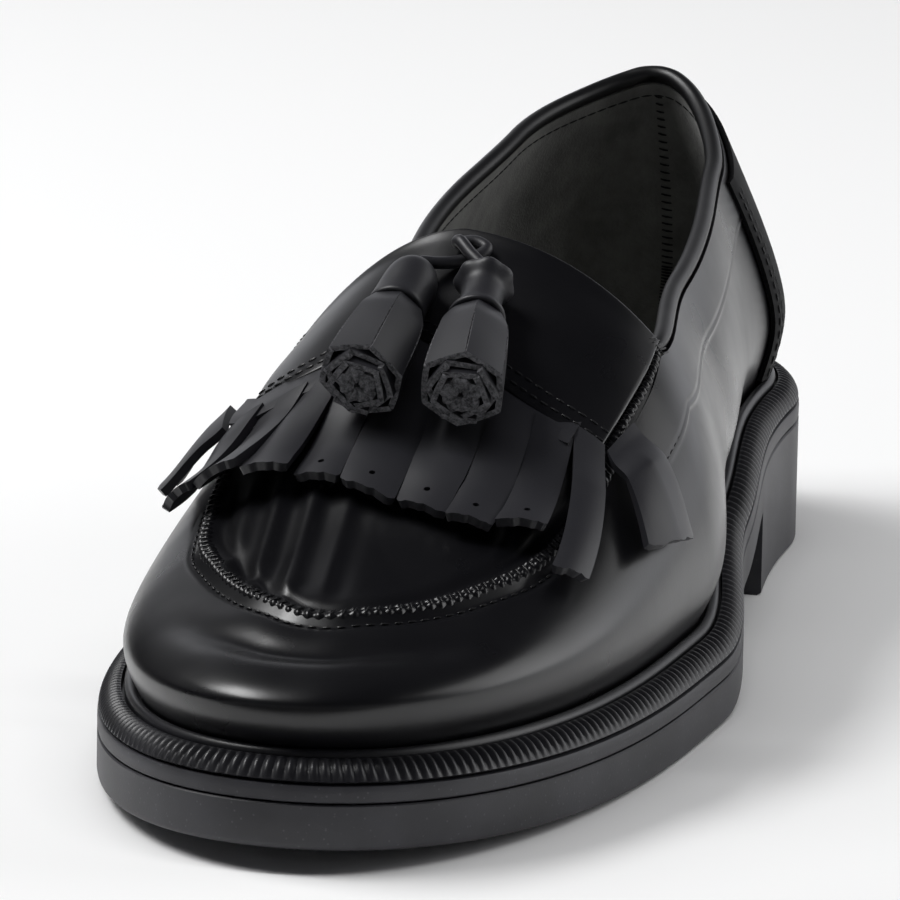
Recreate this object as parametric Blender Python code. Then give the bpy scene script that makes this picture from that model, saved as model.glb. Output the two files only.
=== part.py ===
"""Kiltie loafer, left shoe, built as its maker would put it together.

Metres, +Z up, toe towards -Y, outer (lateral) side towards +X, origin on the
floor under the middle of the shoe. The design below works in millimetres.
"""

import math

import bmesh
import bpy
import numpy as np

MM = 0.001

# Sole, in millimetres
SOLE_LENGTH = 272.0
HEEL_WIDTH = 65.4
BALL_WIDTH = 99.0
WAIST_WIDTH = 72.8
FOREFOOT_THICKNESS = 11.1
HEEL_HEIGHT = 26.0
TOE_SPRING = 4.2
TOP_LAYER = 3.3
BREAST_FROM_BACK = 73.0
EDGE_ROUNDING = 1.2
ARCH_SHARE = 0.42
ARCH_SPREAD = 0.13
ARCH_SHIFT = 4.2
TOE_SHIFT = 2.2

# Upper, in millimetres
WALL = 2.0
FEATHER_INSET = 7.4
BACK_HEIGHT = 80.5
INSTEP_HEIGHT = 74.6
POLE_FROM_BACK = 42.0
POLE_FROM_TOE = 52.0
SEAM_HEIGHT = 1.3
SEAM_START = 0.31
SIDE_WAY = 0.34

# Joints between pieces, in millimetres
CLEARANCE = 0.3
WELT_FLANGE = 1.8
WELT_RISE = 3.7
WELT_WIDTH = 3.9
WELT_STEP = 0.2
FLANGE_OVERLAP = 3.0
BEAD_RADIUS = 1.1
INSOLE_THICKNESS = 2.4
INSOLE_INSET = 0.6
BINDING_RADIUS = 1.6
BINDING_END = 0.004
SADDLE_THICKNESS = 1.9
SADDLE_LIFT = 0.6
STRIP_THICKNESS = 1.5
STRIP_BOW = 0.9
COUNTER_REACH = 0.126
COUNTER_THICKNESS = 1.1
COUNTER_LIFT = 0.5

# Tassels and their lace, in millimetres
TASSEL_LENGTH = 35.5
TASSEL_STRIPS = 10
TASSEL_SKIRT = 14.0
LACE_THICKNESS = 2.4
LACE_TURNS = 2.0
KNOT_RADIUS = 2.3
KNOT_WIDTH = 6.4

# Mesh density
SOLE_STATIONS = 44
UPPER_STATIONS = 72

# Outline of the sole, each side: shares of the length from the back
OUTLINE = {
    "heel share": 0.146,
    "waist share": 0.374,
    "lateral ball share": 0.583,
    "medial ball share": 0.625,
    "toe roundness": 2.12,
    "heel roundness": 2.02,
}

# Ridge of the upper: share of sole length from the back, share of instep height, shift to the side in mm
RIDGE = [
    {"share": 0.15, "height": 1.42, "shift": 0.0},
    {"share": 0.30, "height": 1.36, "shift": 0.0},
    {"share": 0.46, "height": 1.12, "shift": -1.0},
    {"share": 0.53, "height": 1.00, "shift": -2.0},
    {"share": 0.60, "height": 0.86, "shift": -3.0},
    {"share": 0.68, "height": 0.70, "shift": -3.0},
    {"share": 0.76, "height": 0.580, "shift": -2.0},
    {"share": 0.82, "height": 0.52, "shift": 0.0},
]

# Walls of the upper by station round the feather, 0 at the back, 0.25 lateral, 0.5 toe, 0.75 medial:
# bulge beyond the feather in mm, height of the widest place in mm, fullness upwards and across
WALLS = [
    {"station": 0.00, "bulge": 4.9, "widest": 15.0, "up": 0.37, "across": 0.54},
    {"station": 0.03, "bulge": 4.6, "widest": 14.6, "up": 0.29, "across": 0.42},
    {"station": 0.06, "bulge": 4.1, "widest": 14.0, "up": 0.20, "across": 0.32},
    {"station": 0.09, "bulge": 3.7, "widest": 13.4, "up": 0.20, "across": 0.22},
    {"station": 0.12, "bulge": 3.5, "widest": 13.0, "up": 0.20, "across": 0.27},
    {"station": 0.16, "bulge": 3.6, "widest": 13.0, "up": 0.24, "across": 0.43},
    {"station": 0.20, "bulge": 3.7, "widest": 13.0, "up": 0.32, "across": 0.36},
    {"station": 0.27, "bulge": 4.5, "widest": 12.0, "up": 0.47, "across": 0.61},
    {"station": 0.38, "bulge": 5.3, "widest": 11.0, "up": 0.38, "across": 0.56},
    {"station": 0.50, "bulge": 4.5, "widest": 10.0, "up": 0.40, "across": 0.54},
    {"station": 0.62, "bulge": 3.7, "widest": 9.0, "up": 0.28, "across": 0.42},
    {"station": 0.73, "bulge": 3.7, "widest": 10.0, "up": 0.25, "across": 0.50},
    {"station": 0.80, "bulge": 3.7, "widest": 13.0, "up": 0.30, "across": 0.54},
    {"station": 0.88, "bulge": 4.5, "widest": 15.0, "up": 0.20, "across": 0.36},
    {"station": 0.94, "bulge": 4.9, "widest": 15.0, "up": 0.20, "across": 0.40},
    {"station": 1.00, "bulge": 4.9, "widest": 15.0, "up": 0.37, "across": 0.54},
]

# Collar from the back to the throat's corner: station, share of the back height on each side
THROAT = 0.26
COLLAR = [
    {"station": 0.000, "lateral": 1.000, "medial": 1.000},
    {"station": 0.012, "lateral": 0.997, "medial": 0.998},
    {"station": 0.030, "lateral": 0.983, "medial": 0.985},
    {"station": 0.060, "lateral": 0.949, "medial": 0.962},
    {"station": 0.120, "lateral": 0.880, "medial": 0.915},
    {"station": 0.200, "lateral": 0.793, "medial": 0.805},
    {"station": 0.260, "lateral": 0.740, "medial": 0.735},
]

# Seam round the plug: station, share of the way from the feather to the ridge
PLUG_SEAM = [
    {"station": 0.26, "way": 0.640},
    {"station": 0.30, "way": 0.655},
    {"station": 0.35, "way": 0.652},
    {"station": 0.38, "way": 0.690},
    {"station": 0.42, "way": 0.748},
    {"station": 0.46, "way": 0.798},
    {"station": 0.50, "way": 0.814},
]

# Front edge of the saddle strap: across the instep from medial to lateral, and its station
SADDLE_REACH = 0.315
CREST_TURN = 0.16
CREST_SHIFT = 0.032
SADDLE_FRONT = [
    {"across": -0.315, "station": 0.292},
    {"across": -0.180, "station": 0.302},
    {"across": 0.000, "station": 0.308},
    {"across": 0.180, "station": 0.310},
    {"across": 0.315, "station": 0.306},
]

# Strips of the fringe from medial to lateral. Across is 0 on the ridge and counts down the wall;
# each strip runs from its root to its end, and the tips stand off the vamp by a lift in mm.
STRIPS = [
    {"root": (0.288, -0.350), "root to": (0.303, -0.335), "end": (0.286, -0.500), "end to": (0.309, -0.460),
     "lift": 3.4, "tip": 4.5},
    {"root": (0.304, -0.325), "root to": (0.306, -0.262), "end": (0.330, -0.420), "end to": (0.336, -0.350),
     "lift": 2.6, "tip": 5.0},
    {"root": (0.306, -0.257), "root to": (0.308, -0.187), "end": (0.337, -0.340), "end to": (0.345, -0.262),
     "lift": 1.6, "tip": 6.0},
    {"root": (0.308, -0.182), "root to": (0.309, -0.120), "end": (0.346, -0.250), "end to": (0.356, -0.172),
     "lift": 1.0, "tip": 5.0},
    {"root": (0.309, -0.115), "root to": (0.310, -0.044), "end": (0.358, -0.162), "end to": (0.378, -0.066),
     "lift": 0.6, "tip": 2.0},
    {"root": (0.310, -0.039), "root to": (0.311, 0.044), "end": (0.380, -0.054), "end to": (0.383, 0.066),
     "lift": 0.6, "tip": 1.6},
    {"root": (0.311, 0.049), "root to": (0.311, 0.126), "end": (0.382, 0.078), "end to": (0.370, 0.164),
     "lift": 0.6, "tip": 1.8},
    {"root": (0.311, 0.131), "root to": (0.311, 0.196), "end": (0.369, 0.172), "end to": (0.359, 0.244),
     "lift": 0.7, "tip": 2.4},
    {"root": (0.311, 0.201), "root to": (0.310, 0.266), "end": (0.357, 0.254), "end to": (0.346, 0.330),
     "lift": 1.0, "tip": 3.0},
    {"root": (0.309, 0.271), "root to": (0.307, 0.328), "end": (0.355, 0.395), "end to": (0.345, 0.462),
     "lift": 2.4, "tip": 2.6},
    {"root": (0.306, 0.338), "root to": (0.291, 0.352), "end": (0.318, 0.492), "end to": (0.294, 0.545),
     "lift": 2.6, "tip": 2.6},
]

# Tassels: where the head and the end of each lie on the instep, and the gap under the end, in mm
TASSELS = [
    {"name": "tassel_medial", "head": (-6.0, -21.5), "end": (-7.0, -51.0), "lift": 1.2},
    {"name": "tassel_lateral", "head": (6.4, -22.5), "end": (11.2, -54.5), "lift": 2.2},
]

# Turned outline of a tassel: share of its length, share of the skirt's radius, depth of the cuts
TASSEL_PROFILE = [
    {"share": 0.00, "radius": 0.30, "cut": 0.00},
    {"share": 0.03, "radius": 0.46, "cut": 0.00},
    {"share": 0.10, "radius": 0.53, "cut": 0.00},
    {"share": 0.30, "radius": 0.53, "cut": 0.00},
    {"share": 0.38, "radius": 0.66, "cut": 0.04},
    {"share": 0.50, "radius": 0.84, "cut": 0.12},
    {"share": 0.75, "radius": 0.95, "cut": 0.14},
    {"share": 1.00, "radius": 1.00, "cut": 0.16},
]


def ease(t):
    t = np.clip(t, 0.0, 1.0)
    return t * t * (3.0 - 2.0 * t)


def column(rows, name):
    return np.array([row[name] for row in rows])


def read_table(rows, key, name, at, level_ends=False):
    """Smooth curve through one column of a table, without overshoot."""
    x = column(rows, key)
    y = column(rows, name)
    step = np.diff(x)
    slope = np.diff(y) / step
    tangent = np.zeros(len(x))
    same = slope[:-1] * slope[1:] > 0.0
    mean = np.where(same, 2.0 * slope[:-1] * slope[1:] / np.where(same, slope[:-1] + slope[1:], 1.0), 0.0)
    tangent[1:-1] = mean
    if not level_ends:
        tangent[0] = slope[0]
        tangent[-1] = slope[-1]
    at = np.clip(np.asarray(at, float), x[0], x[-1])
    i = np.clip(np.searchsorted(x, at, side="right") - 1, 0, len(x) - 2)
    t = (at - x[i]) / step[i]
    h00 = (1.0 + 2.0 * t) * (1.0 - t) ** 2
    h10 = t * (1.0 - t) ** 2
    h01 = t * t * (3.0 - 2.0 * t)
    h11 = t * t * (t - 1.0)
    return h00 * y[i] + h10 * step[i] * tangent[i] + h01 * y[i + 1] + h11 * step[i] * tangent[i + 1]


# Sole

def half_width(share, ball_share):
    heel_share = OUTLINE["heel share"]
    waist_share = OUTLINE["waist share"]
    heel = HEEL_WIDTH / 2.0
    waist = WAIST_WIDTH / 2.0
    ball = BALL_WIDTH / 2.0
    behind = np.clip((heel_share - share) / heel_share, 0.0, 1.0)
    ahead = np.clip((share - ball_share) / (1.0 - ball_share), 0.0, 1.0)
    round_heel = OUTLINE["heel roundness"]
    round_toe = OUTLINE["toe roundness"]
    heel_part = heel * (1.0 - behind ** round_heel) ** (1.0 / round_heel)
    toe_part = ball * (1.0 - ahead ** round_toe) ** (1.0 / round_toe)
    to_waist = heel + (waist - heel) * ease((share - heel_share) / (waist_share - heel_share))
    to_ball = waist + (ball - waist) * ease((share - waist_share) / (ball_share - waist_share))
    middle = np.where(share < waist_share, to_waist, to_ball)
    return np.where(share < heel_share, heel_part, np.where(share > ball_share, toe_part, middle))


def sole_outline(station):
    """Edge of the sole: station 0 at the back, 0.25 lateral, 0.5 at the toe, 0.75 medial."""
    station = np.asarray(station, float)
    share = (1.0 - np.cos(2.0 * np.pi * station)) / 2.0
    lateral = np.sin(2.0 * np.pi * station) >= 0.0
    width = np.where(
        lateral,
        half_width(share, OUTLINE["lateral ball share"]),
        -half_width(share, OUTLINE["medial ball share"]),
    )
    arch = ARCH_SHIFT * np.exp(-(((share - ARCH_SHARE) / ARCH_SPREAD) ** 2))
    toe = TOE_SHIFT * np.clip((share - 0.37) / 0.63, 0.0, 1.0) ** 1.6
    return np.stack([width + arch + toe, SOLE_LENGTH * (0.5 - share)], axis=-1)


def inset_outline(station, inset):
    """The outline moved inwards by a distance measured square to it."""
    small = 0.004
    along = sole_outline(station + small) - sole_outline(station - small)
    along = along / np.linalg.norm(along, axis=-1, keepdims=True)
    inward = np.stack([along[..., 1], -along[..., 0]], axis=-1)
    return sole_outline(station) + inward * np.asarray(inset)[..., None]


def share_of(y):
    return 0.5 - y / SOLE_LENGTH


def sole_rise(y):
    """Height of the sole plate's underside above the floor: heel, waist, flat tread and toe spring."""
    share = share_of(y)
    waist = (HEEL_HEIGHT - FOREFOOT_THICKNESS) * ease((0.60 - share) / 0.38)
    spring = TOE_SPRING * np.clip((share - 0.66) / 0.34, 0.0, 1.0) ** 2
    return waist + spring


def sole_top(y):
    return sole_rise(y) + FOREFOOT_THICKNESS


def welt_seat(y):
    return sole_top(y) + CLEARANCE


def feather_height(y):
    return welt_seat(y) + WELT_FLANGE + CLEARANCE


# Surface of the upper

def spine(station):
    back = SOLE_LENGTH / 2.0 - POLE_FROM_BACK
    front = -SOLE_LENGTH / 2.0 + POLE_FROM_TOE
    y = (back + front) / 2.0 + (back - front) / 2.0 * np.cos(2.0 * np.pi * station)
    x = read_table(RIDGE, "share", "shift", share_of(y))
    return np.stack([x, y], axis=-1)


def ridge_height(y):
    return INSTEP_HEIGHT * read_table(RIDGE, "share", "height", share_of(y))


def bezier(p0, p1, p2, p3, t):
    return (1 - t) ** 3 * p0 + 3 * (1 - t) ** 2 * t * p1 + 3 * (1 - t) * t * t * p2 + t ** 3 * p3


def wall_shape(name, station):
    """One column of the walls' table, evened out round the shoe."""
    total = 0.0
    for shift, weight in ((-0.03, 0.1), (-0.015, 0.2), (0.0, 0.4), (0.015, 0.2), (0.03, 0.1)):
        total = total + weight * read_table(WALLS, "station", name, (station + shift) % 1.0, True)
    return total


def bare_surface(station, way):
    """Point of the upper's outside: way 0 on the feather line, 1 on the ridge."""
    station = np.asarray(station, float)
    way = np.asarray(way, float)
    station, way = np.broadcast_arrays(station, way)
    feather = inset_outline(station, np.full(station.shape, FEATHER_INSET))
    top = spine(station)
    out = feather - top
    reach = np.linalg.norm(out, axis=-1)
    out = out / reach[..., None]
    low = feather_height(feather[..., 1])
    high = ridge_height(top[..., 1])
    station = station % 1.0
    bulge = wall_shape("bulge", station)
    widest = low + wall_shape("widest", station)
    up = wall_shape("up", station)
    across = wall_shape("across", station)
    wide = reach + bulge
    slope = (ridge_height(top[..., 1] + 1.0) - ridge_height(top[..., 1] - 1.0)) / 2.0
    t = np.clip(way / SIDE_WAY, 0.0, 1.0)
    side_r = bezier(reach, reach, wide, wide, t)
    side_z = bezier(low, low + 0.2 * (widest - low), low + 0.6 * (widest - low), widest, t)
    t = np.clip((way - SIDE_WAY) / (1.0 - SIDE_WAY), 0.0, 1.0)
    top_r = bezier(wide, wide, across * wide, 0.0 * wide, t)
    tilt = across * wide * slope * out[..., 1]
    top_z = bezier(widest, widest + up * (high - widest), high + tilt, high, t)
    on_side = way < SIDE_WAY
    r = np.where(on_side, side_r, top_r)
    z = np.where(on_side, side_z, top_z)
    return np.stack([top[..., 0] + out[..., 0] * r, top[..., 1] + out[..., 1] * r, z], axis=-1)


def surface_normal(station, way):
    small = 0.002
    way = np.clip(way, 0.004, 0.985)
    du = bare_surface(station + small, way) - bare_surface(station - small, way)
    dv = bare_surface(station, way + small) - bare_surface(station, way - small)
    normal = np.cross(dv, du)
    return normal / np.linalg.norm(normal, axis=-1, keepdims=True)


def upper_surface(station, way, lift):
    """Outside of the upper, moved off it by lift millimetres."""
    station, way, lift = np.broadcast_arrays(
        np.asarray(station, float), np.asarray(way, float), np.asarray(lift, float)
    )
    return bare_surface(station, way) + surface_normal(station, way) * lift[..., None]


def way_at_height(station, height):
    """Way up the wall at which the surface reaches a height."""
    ways = np.linspace(0.0, 1.0, 201)
    heights = bare_surface(np.full(ways.shape, station), ways)[:, 2]
    rising = np.maximum.accumulate(heights)
    return float(np.interp(height, rising, ways))


def folded(station):
    """Same station on the lateral side."""
    station = station % 1.0
    return min(station, 1.0 - station)


def top_way(station):
    """Collar behind the throat's corner, seam of the plug ahead of it."""
    station = station % 1.0
    side = folded(station)
    column_name = "lateral" if station < 0.5 else "medial"
    if side <= THROAT:
        height = BACK_HEIGHT * float(read_table(COLLAR, "station", column_name, side, True))
        return way_at_height(station, height)
    corner_station = THROAT if station < 0.5 else 1.0 - THROAT
    corner = way_at_height(corner_station, BACK_HEIGHT * COLLAR[-1][column_name])
    seam = float(read_table(PLUG_SEAM, "station", "way", side, True))
    blend = float(ease((side - THROAT) / 0.06))
    return corner + (seam - corner) * blend


# Making meshes

def new_object(name, mesh_data, material):
    mesh = bpy.data.meshes.new(name)
    mesh_data.to_mesh(mesh)
    mesh_data.free()
    mesh.materials.append(material)
    thing = bpy.data.objects.new(name, mesh)
    bpy.context.scene.collection.objects.link(thing)
    mesh.shade_smooth()
    mesh.set_sharp_from_angle(angle=math.radians(38.0))
    return thing


def add_points(bm, points):
    return [bm.verts.new([c * MM for c in point]) for point in points]


def bridge_rows(bm, row_a, row_b, closed):
    """Quads between two rows of vertices; a pair that coincides gives a triangle."""
    count = len(row_a)
    last = count if closed else count - 1
    for i in range(last):
        j = (i + 1) % count
        corners = []
        for vert in (row_a[i], row_a[j], row_b[j], row_b[i]):
            if vert not in corners:
                corners.append(vert)
        if len(corners) >= 3:
            bm.faces.new(corners)


def ladder(bm, ring, flip):
    """Caps a ring whose second half runs back beside the first."""
    count = len(ring)
    half = count // 2
    for i in range(half):
        corners = []
        for k in (i, i + 1, count - i - 1, (count - i) % count):
            if ring[k] not in corners:
                corners.append(ring[k])
        if flip:
            corners.reverse()
        if len(corners) >= 3:
            bm.faces.new(corners)


def solid_sheet(name, material, outer, inner):
    """Closed solid between two grids of points of the same size."""
    bm = bmesh.new()
    rows = len(outer)
    skin = [add_points(bm, row) for row in outer]
    back = [add_points(bm, row) for row in inner]
    for i in range(rows - 1):
        bridge_rows(bm, skin[i], skin[i + 1], False)
        bridge_rows(bm, back[i + 1], back[i], False)
    bridge_rows(bm, skin[-1], back[-1], False)
    bridge_rows(bm, back[0], skin[0], False)
    bridge_rows(bm, [r[0] for r in back], [r[0] for r in skin], False)
    bridge_rows(bm, [r[-1] for r in skin], [r[-1] for r in back], False)
    bmesh.ops.recalc_face_normals(bm, faces=bm.faces)
    return new_object(name, bm, material)


def ring_stack(rings, top_cap, bottom_cap):
    """Closed body of stacked rings, lowest first; without caps the last ring meets the first."""
    bm = bmesh.new()
    made = [add_points(bm, ring) for ring in rings]
    for low, high in zip(made, made[1:]):
        bridge_rows(bm, low, high, True)
    if top_cap:
        ladder(bm, made[-1], False)
    if bottom_cap:
        ladder(bm, made[0], True)
    if not top_cap and not bottom_cap:
        bridge_rows(bm, made[-1], made[0], True)
    bmesh.ops.recalc_face_normals(bm, faces=bm.faces)
    return bm


def sole_stations():
    """Stations round the sole, one of them on the heel's breast."""
    half = SOLE_STATIONS
    stations = np.linspace(0.0, 0.5, half + 1)
    breast = math.acos(1.0 - 2.0 * BREAST_FROM_BACK / SOLE_LENGTH) / (2.0 * math.pi)
    nearest = int(np.argmin(np.abs(stations - breast)))
    stations[nearest] = breast
    return np.concatenate([stations, 1.0 - stations[-2:0:-1]])


def sole_ring(stations, inset, height_of):
    edge = inset_outline(stations, np.full(len(stations), inset))
    return np.column_stack([edge, height_of(edge[:, 1])])


def leather(name, colour, roughness):
    material = bpy.data.materials.new(name)
    material.use_nodes = True
    shader = material.node_tree.nodes["Principled BSDF"]
    shader.inputs["Base Color"].default_value = (*colour, 1.0)
    shader.inputs["Roughness"].default_value = roughness
    shader.inputs["Metallic"].default_value = 0.0
    return material


def make_outsole(material):
    """Moulded rubber unit: tread, waist and heel block in one."""
    stations = sole_stations()
    rings = [
        sole_ring(stations, EDGE_ROUNDING, sole_rise),
        sole_ring(stations, 0.0, lambda y: sole_rise(y) + EDGE_ROUNDING),
        sole_ring(stations, 0.0, lambda y: sole_top(y) - TOP_LAYER),
    ]
    bm = ring_stack(rings, True, True)
    breast_y = (SOLE_LENGTH / 2.0 - BREAST_FROM_BACK) * MM
    under = [
        face for face in bm.faces
        if face.normal.z < -0.8 and min(vert.co.y for vert in face.verts) > breast_y - 0.1 * MM
    ]
    made = bmesh.ops.extrude_face_region(bm, geom=under)
    bmesh.ops.delete(bm, geom=under, context="FACES_ONLY")
    block = [item for item in made["geom"] if isinstance(item, bmesh.types.BMVert)]
    for vert in block:
        vert.co.z = 0.0
    bmesh.ops.recalc_face_normals(bm, faces=bm.faces)
    return new_object("outsole", bm, material)


def make_midsole(material):
    stations = sole_stations()
    rings = [
        sole_ring(stations, 0.0, lambda y: sole_top(y) - TOP_LAYER + CLEARANCE),
        sole_ring(stations, 0.0, lambda y: sole_top(y) - 0.4),
        sole_ring(stations, 0.5, sole_top),
    ]
    return new_object("midsole", ring_stack(rings, True, True), material)


def make_welt(material):
    """Rolled welt: its visible band rises to the bead and a flange runs in under the upper."""
    stations = sole_stations()
    profile = [
        (0.4, 0.0),
        (0.1, 0.7),
        (0.7, 0.56 * WELT_RISE),
        (0.5 * WELT_WIDTH, 0.86 * WELT_RISE),
        (WELT_WIDTH, WELT_RISE),
        (WELT_WIDTH + WELT_STEP, WELT_FLANGE),
        (FEATHER_INSET + WALL + FLANGE_OVERLAP, WELT_FLANGE),
        (FEATHER_INSET + WALL + FLANGE_OVERLAP, 0.0),
    ]
    rings = [
        sole_ring(stations, inset, lambda y, rise=rise: welt_seat(y) + rise)
        for inset, rise in profile
    ]
    return new_object("welt", ring_stack(rings, False, False), material)


def make_bead(material):
    """Smooth cord that lies in the corner between welt and upper."""
    stations = sole_stations()
    middle = WELT_WIDTH + WELT_STEP + CLEARANCE + BEAD_RADIUS
    height = WELT_FLANGE + CLEARANCE + BEAD_RADIUS
    rings = []
    for k in range(8):
        turn = 2.0 * math.pi * k / 8
        inset = middle + BEAD_RADIUS * math.cos(turn)
        rise = height + 1.15 * BEAD_RADIUS * math.sin(turn)
        rings.append(sole_ring(stations, inset, lambda y, rise=rise: welt_seat(y) + rise))
    return new_object("welt_bead", ring_stack(rings, False, False), material)


def make_insole(material):
    stations = sole_stations()
    inset = FEATHER_INSET + WALL + INSOLE_INSET
    rings = [
        sole_ring(stations, inset, feather_height),
        sole_ring(stations, inset, lambda y: feather_height(y) + INSOLE_THICKNESS),
    ]
    return new_object("insole", ring_stack(rings, True, True), material)


LOW_ROWS = [0.0, 0.1, 0.22, 0.36, 0.52, 0.68, 0.84, 0.93, 1.0]
HIGH_ROWS = [0.07, 0.20, 0.36, 0.52, 0.68, 0.84, 1.0]


def upper_stations():
    count = UPPER_STATIONS
    stations = np.arange(count) / count
    for corner in (THROAT, 1.0 - THROAT):
        nearest = int(np.argmin(np.abs(stations - corner)))
        stations[nearest] = corner
    return stations


def make_upper(material):
    """One hollow wall, open at the collar and throat and underneath."""
    stations = upper_stations()
    count = len(stations)
    bm = bmesh.new()
    ridge = {}
    skins = []
    for depth in (0.0, -WALL):
        columns = []
        for i, station in enumerate(stations):
            side = folded(station)
            top = top_way(station)
            ways = [top * row for row in LOW_ROWS]
            lifts = [depth] * len(ways)
            raised = SEAM_HEIGHT * float(ease((side - SEAM_START) / 0.03))
            lifts[-1] = depth + raised
            if side >= THROAT - 1e-9:
                ways += [top + (1.0 - top) * row for row in HIGH_ROWS]
                lifts += [depth] * len(HIGH_ROWS)
            ways = np.array(ways)
            places = np.full(len(ways), station)
            if side >= THROAT - 1e-9:
                shifted = over_crest(side, 1.0 - ways)
                bent = ways > top
                places[bent] = shifted[bent] if station < 0.5 else 1.0 - shifted[bent]
            points = upper_surface(places, ways, np.array(lifts))
            if depth < 0.0:
                points[0, 2] = feather_height(points[0, 1])
            verts = add_points(bm, points[:-1] if side >= THROAT - 1e-9 else points)
            if side >= THROAT - 1e-9:
                key = (round(side, 6), depth)
                if key not in ridge:
                    centre = points[-1].copy()
                    ridge[key] = add_points(bm, [centre])[0]
                verts.append(ridge[key])
            columns.append(verts)
        skins.append(columns)
    low = len(LOW_ROWS)
    for k, columns in enumerate(skins):
        for i in range(count):
            a = columns[i]
            b = columns[(i + 1) % count]
            rows = min(len(a), len(b))
            first, second = (a, b) if k == 0 else (b, a)
            bridge_rows(bm, first[:rows], second[:rows], False)
    outer, inner = skins
    bridge_rows(bm, [c[0] for c in outer], [c[0] for c in inner], True)
    corner_a = min(range(count), key=lambda i: abs(stations[i] - THROAT))
    corner_b = min(range(count), key=lambda i: abs(stations[i] - (1.0 - THROAT)))
    rim = list(range(corner_b, count)) + list(range(0, corner_a + 1))
    bridge_rows(bm, [outer[i][low - 1] for i in rim], [inner[i][low - 1] for i in rim], False)
    for i in (corner_a, corner_b):
        bridge_rows(bm, outer[i][low - 1:], inner[i][low - 1:], False)
    bmesh.ops.recalc_face_normals(bm, faces=bm.faces)
    return new_object("upper", bm, material)


def swept_tube(name, material, path, radius, sides):
    """Round cord along a list of points, its ends capped."""
    path = np.asarray(path, float)
    bm = bmesh.new()
    rings = []
    along = np.gradient(path, axis=0)
    along /= np.linalg.norm(along, axis=1, keepdims=True)
    side = np.cross(along[0], (0.0, 0.0, 1.0))
    side /= np.linalg.norm(side)
    for point, direction in zip(path, along):
        side = side - direction * np.dot(side, direction)
        side /= np.linalg.norm(side)
        other = np.cross(direction, side)
        ring = []
        for k in range(sides):
            turn = 2.0 * math.pi * k / sides
            ring.append(point + radius * (math.cos(turn) * side + math.sin(turn) * other))
        rings.append(add_points(bm, ring))
    for a, b in zip(rings, rings[1:]):
        bridge_rows(bm, a, b, True)
    bm.faces.new(rings[0])
    bm.faces.new(rings[-1])
    bmesh.ops.recalc_face_normals(bm, faces=bm.faces)
    return new_object(name, bm, material)


def make_binding(material):
    """Rolled edge along the collar, from one corner of the throat round the back to the other."""
    stations = np.linspace(-THROAT + BINDING_END, THROAT - BINDING_END, 49)
    path = []
    for station in stations:
        top = top_way(station)
        middle = upper_surface(station % 1.0, top, -WALL / 2.0)
        edge = upper_surface(station % 1.0, top, 0.0)
        below = upper_surface(station % 1.0, top - 0.03, 0.0)
        rise = (edge - below) / np.linalg.norm(edge - below)
        path.append(middle + rise * (BINDING_RADIUS + CLEARANCE))
    return swept_tube("collar_binding", material, path, BINDING_RADIUS, 8)


def make_heel_counter(material):
    columns = 15
    rows = 6
    beads = 2.0 * BEAD_RADIUS
    outer = []
    inner = []
    foot = feather_height(SOLE_LENGTH / 2.0) + beads + 3.0 * CLEARANCE
    across = np.linspace(-COUNTER_REACH, COUNTER_REACH, columns)
    for share in np.linspace(0.0, 1.0, rows):
        lows = np.array([way_at_height(s % 1.0, foot) for s in across])
        tops = np.array([top_way(s) - 0.02 for s in across])
        ways = lows + (tops - lows) * share
        outer.append(upper_surface(across, ways, COUNTER_LIFT + COUNTER_THICKNESS))
        inner.append(upper_surface(across, ways, COUNTER_LIFT))
    return solid_sheet("heel_counter", material, outer, inner)


def over_crest(station, across):
    """Lines across the instep bend over its crest instead of meeting at an angle."""
    across = np.abs(across)
    turn = np.sqrt(across ** 2 + CREST_TURN ** 2) - across
    fade = np.clip((0.5 - station) / (0.5 - THROAT), 0.0, 1.0)
    return station + CREST_SHIFT * turn * fade


def vamp_point(station, across, lift):
    """Point over the vamp: across 0 on the ridge, positive to the lateral side, counted down the wall."""
    across = np.asarray(across, float)
    station = over_crest(np.asarray(station, float), across)
    side = np.where(across >= 0.0, station, 1.0 - station)
    return upper_surface(side, 1.0 - np.abs(across), lift)


def masked_sheet(name, material, outer, inner, present):
    """Closed solid between two grids, with only the cells of the grid that are present."""
    rows, columns = present.shape
    bm = bmesh.new()
    skins = []
    for grid in (outer, inner):
        skins.append([[bm.verts.new([c * MM for c in point]) for point in row] for row in grid])
    top, under = skins

    def there(i, j):
        return 0 <= i < rows and 0 <= j < columns and present[i, j]

    for i in range(rows):
        for j in range(columns):
            if not present[i, j]:
                continue
            corners = [(i, j), (i, j + 1), (i + 1, j + 1), (i + 1, j)]
            bm.faces.new([top[a][b] for a, b in corners])
            bm.faces.new([under[a][b] for a, b in reversed(corners)])
            beyond = [(i - 1, j), (i, j + 1), (i + 1, j), (i, j - 1)]
            for k in range(4):
                if there(*beyond[k]):
                    continue
                a, b = corners[k], corners[(k + 1) % 4]
                bm.faces.new([top[b[0]][b[1]], top[a[0]][a[1]], under[a[0]][a[1]], under[b[0]][b[1]]])
    for vert in [v for v in bm.verts if not v.link_faces]:
        bm.verts.remove(vert)
    bmesh.ops.recalc_face_normals(bm, faces=bm.faces)
    return new_object(name, bm, material)


def make_saddle(material):
    """Strap over the instep, from the throat's edge to the root of the fringe."""
    across = np.linspace(-SADDLE_REACH, SADDLE_REACH, 25)
    front = read_table(SADDLE_FRONT, "across", "station", across)
    rows = np.linspace(0.0, 1.0, 7)
    outer = []
    inner = []
    for row in rows:
        station = THROAT + 0.001 + (front - THROAT - 0.001) * row
        outer.append(vamp_point(station, across, SADDLE_LIFT + SADDLE_THICKNESS))
        inner.append(vamp_point(station, across, SADDLE_LIFT))
    present = np.ones((len(rows) - 1, len(across) - 1), bool)
    return masked_sheet("saddle", material, outer, inner, present)


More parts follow.
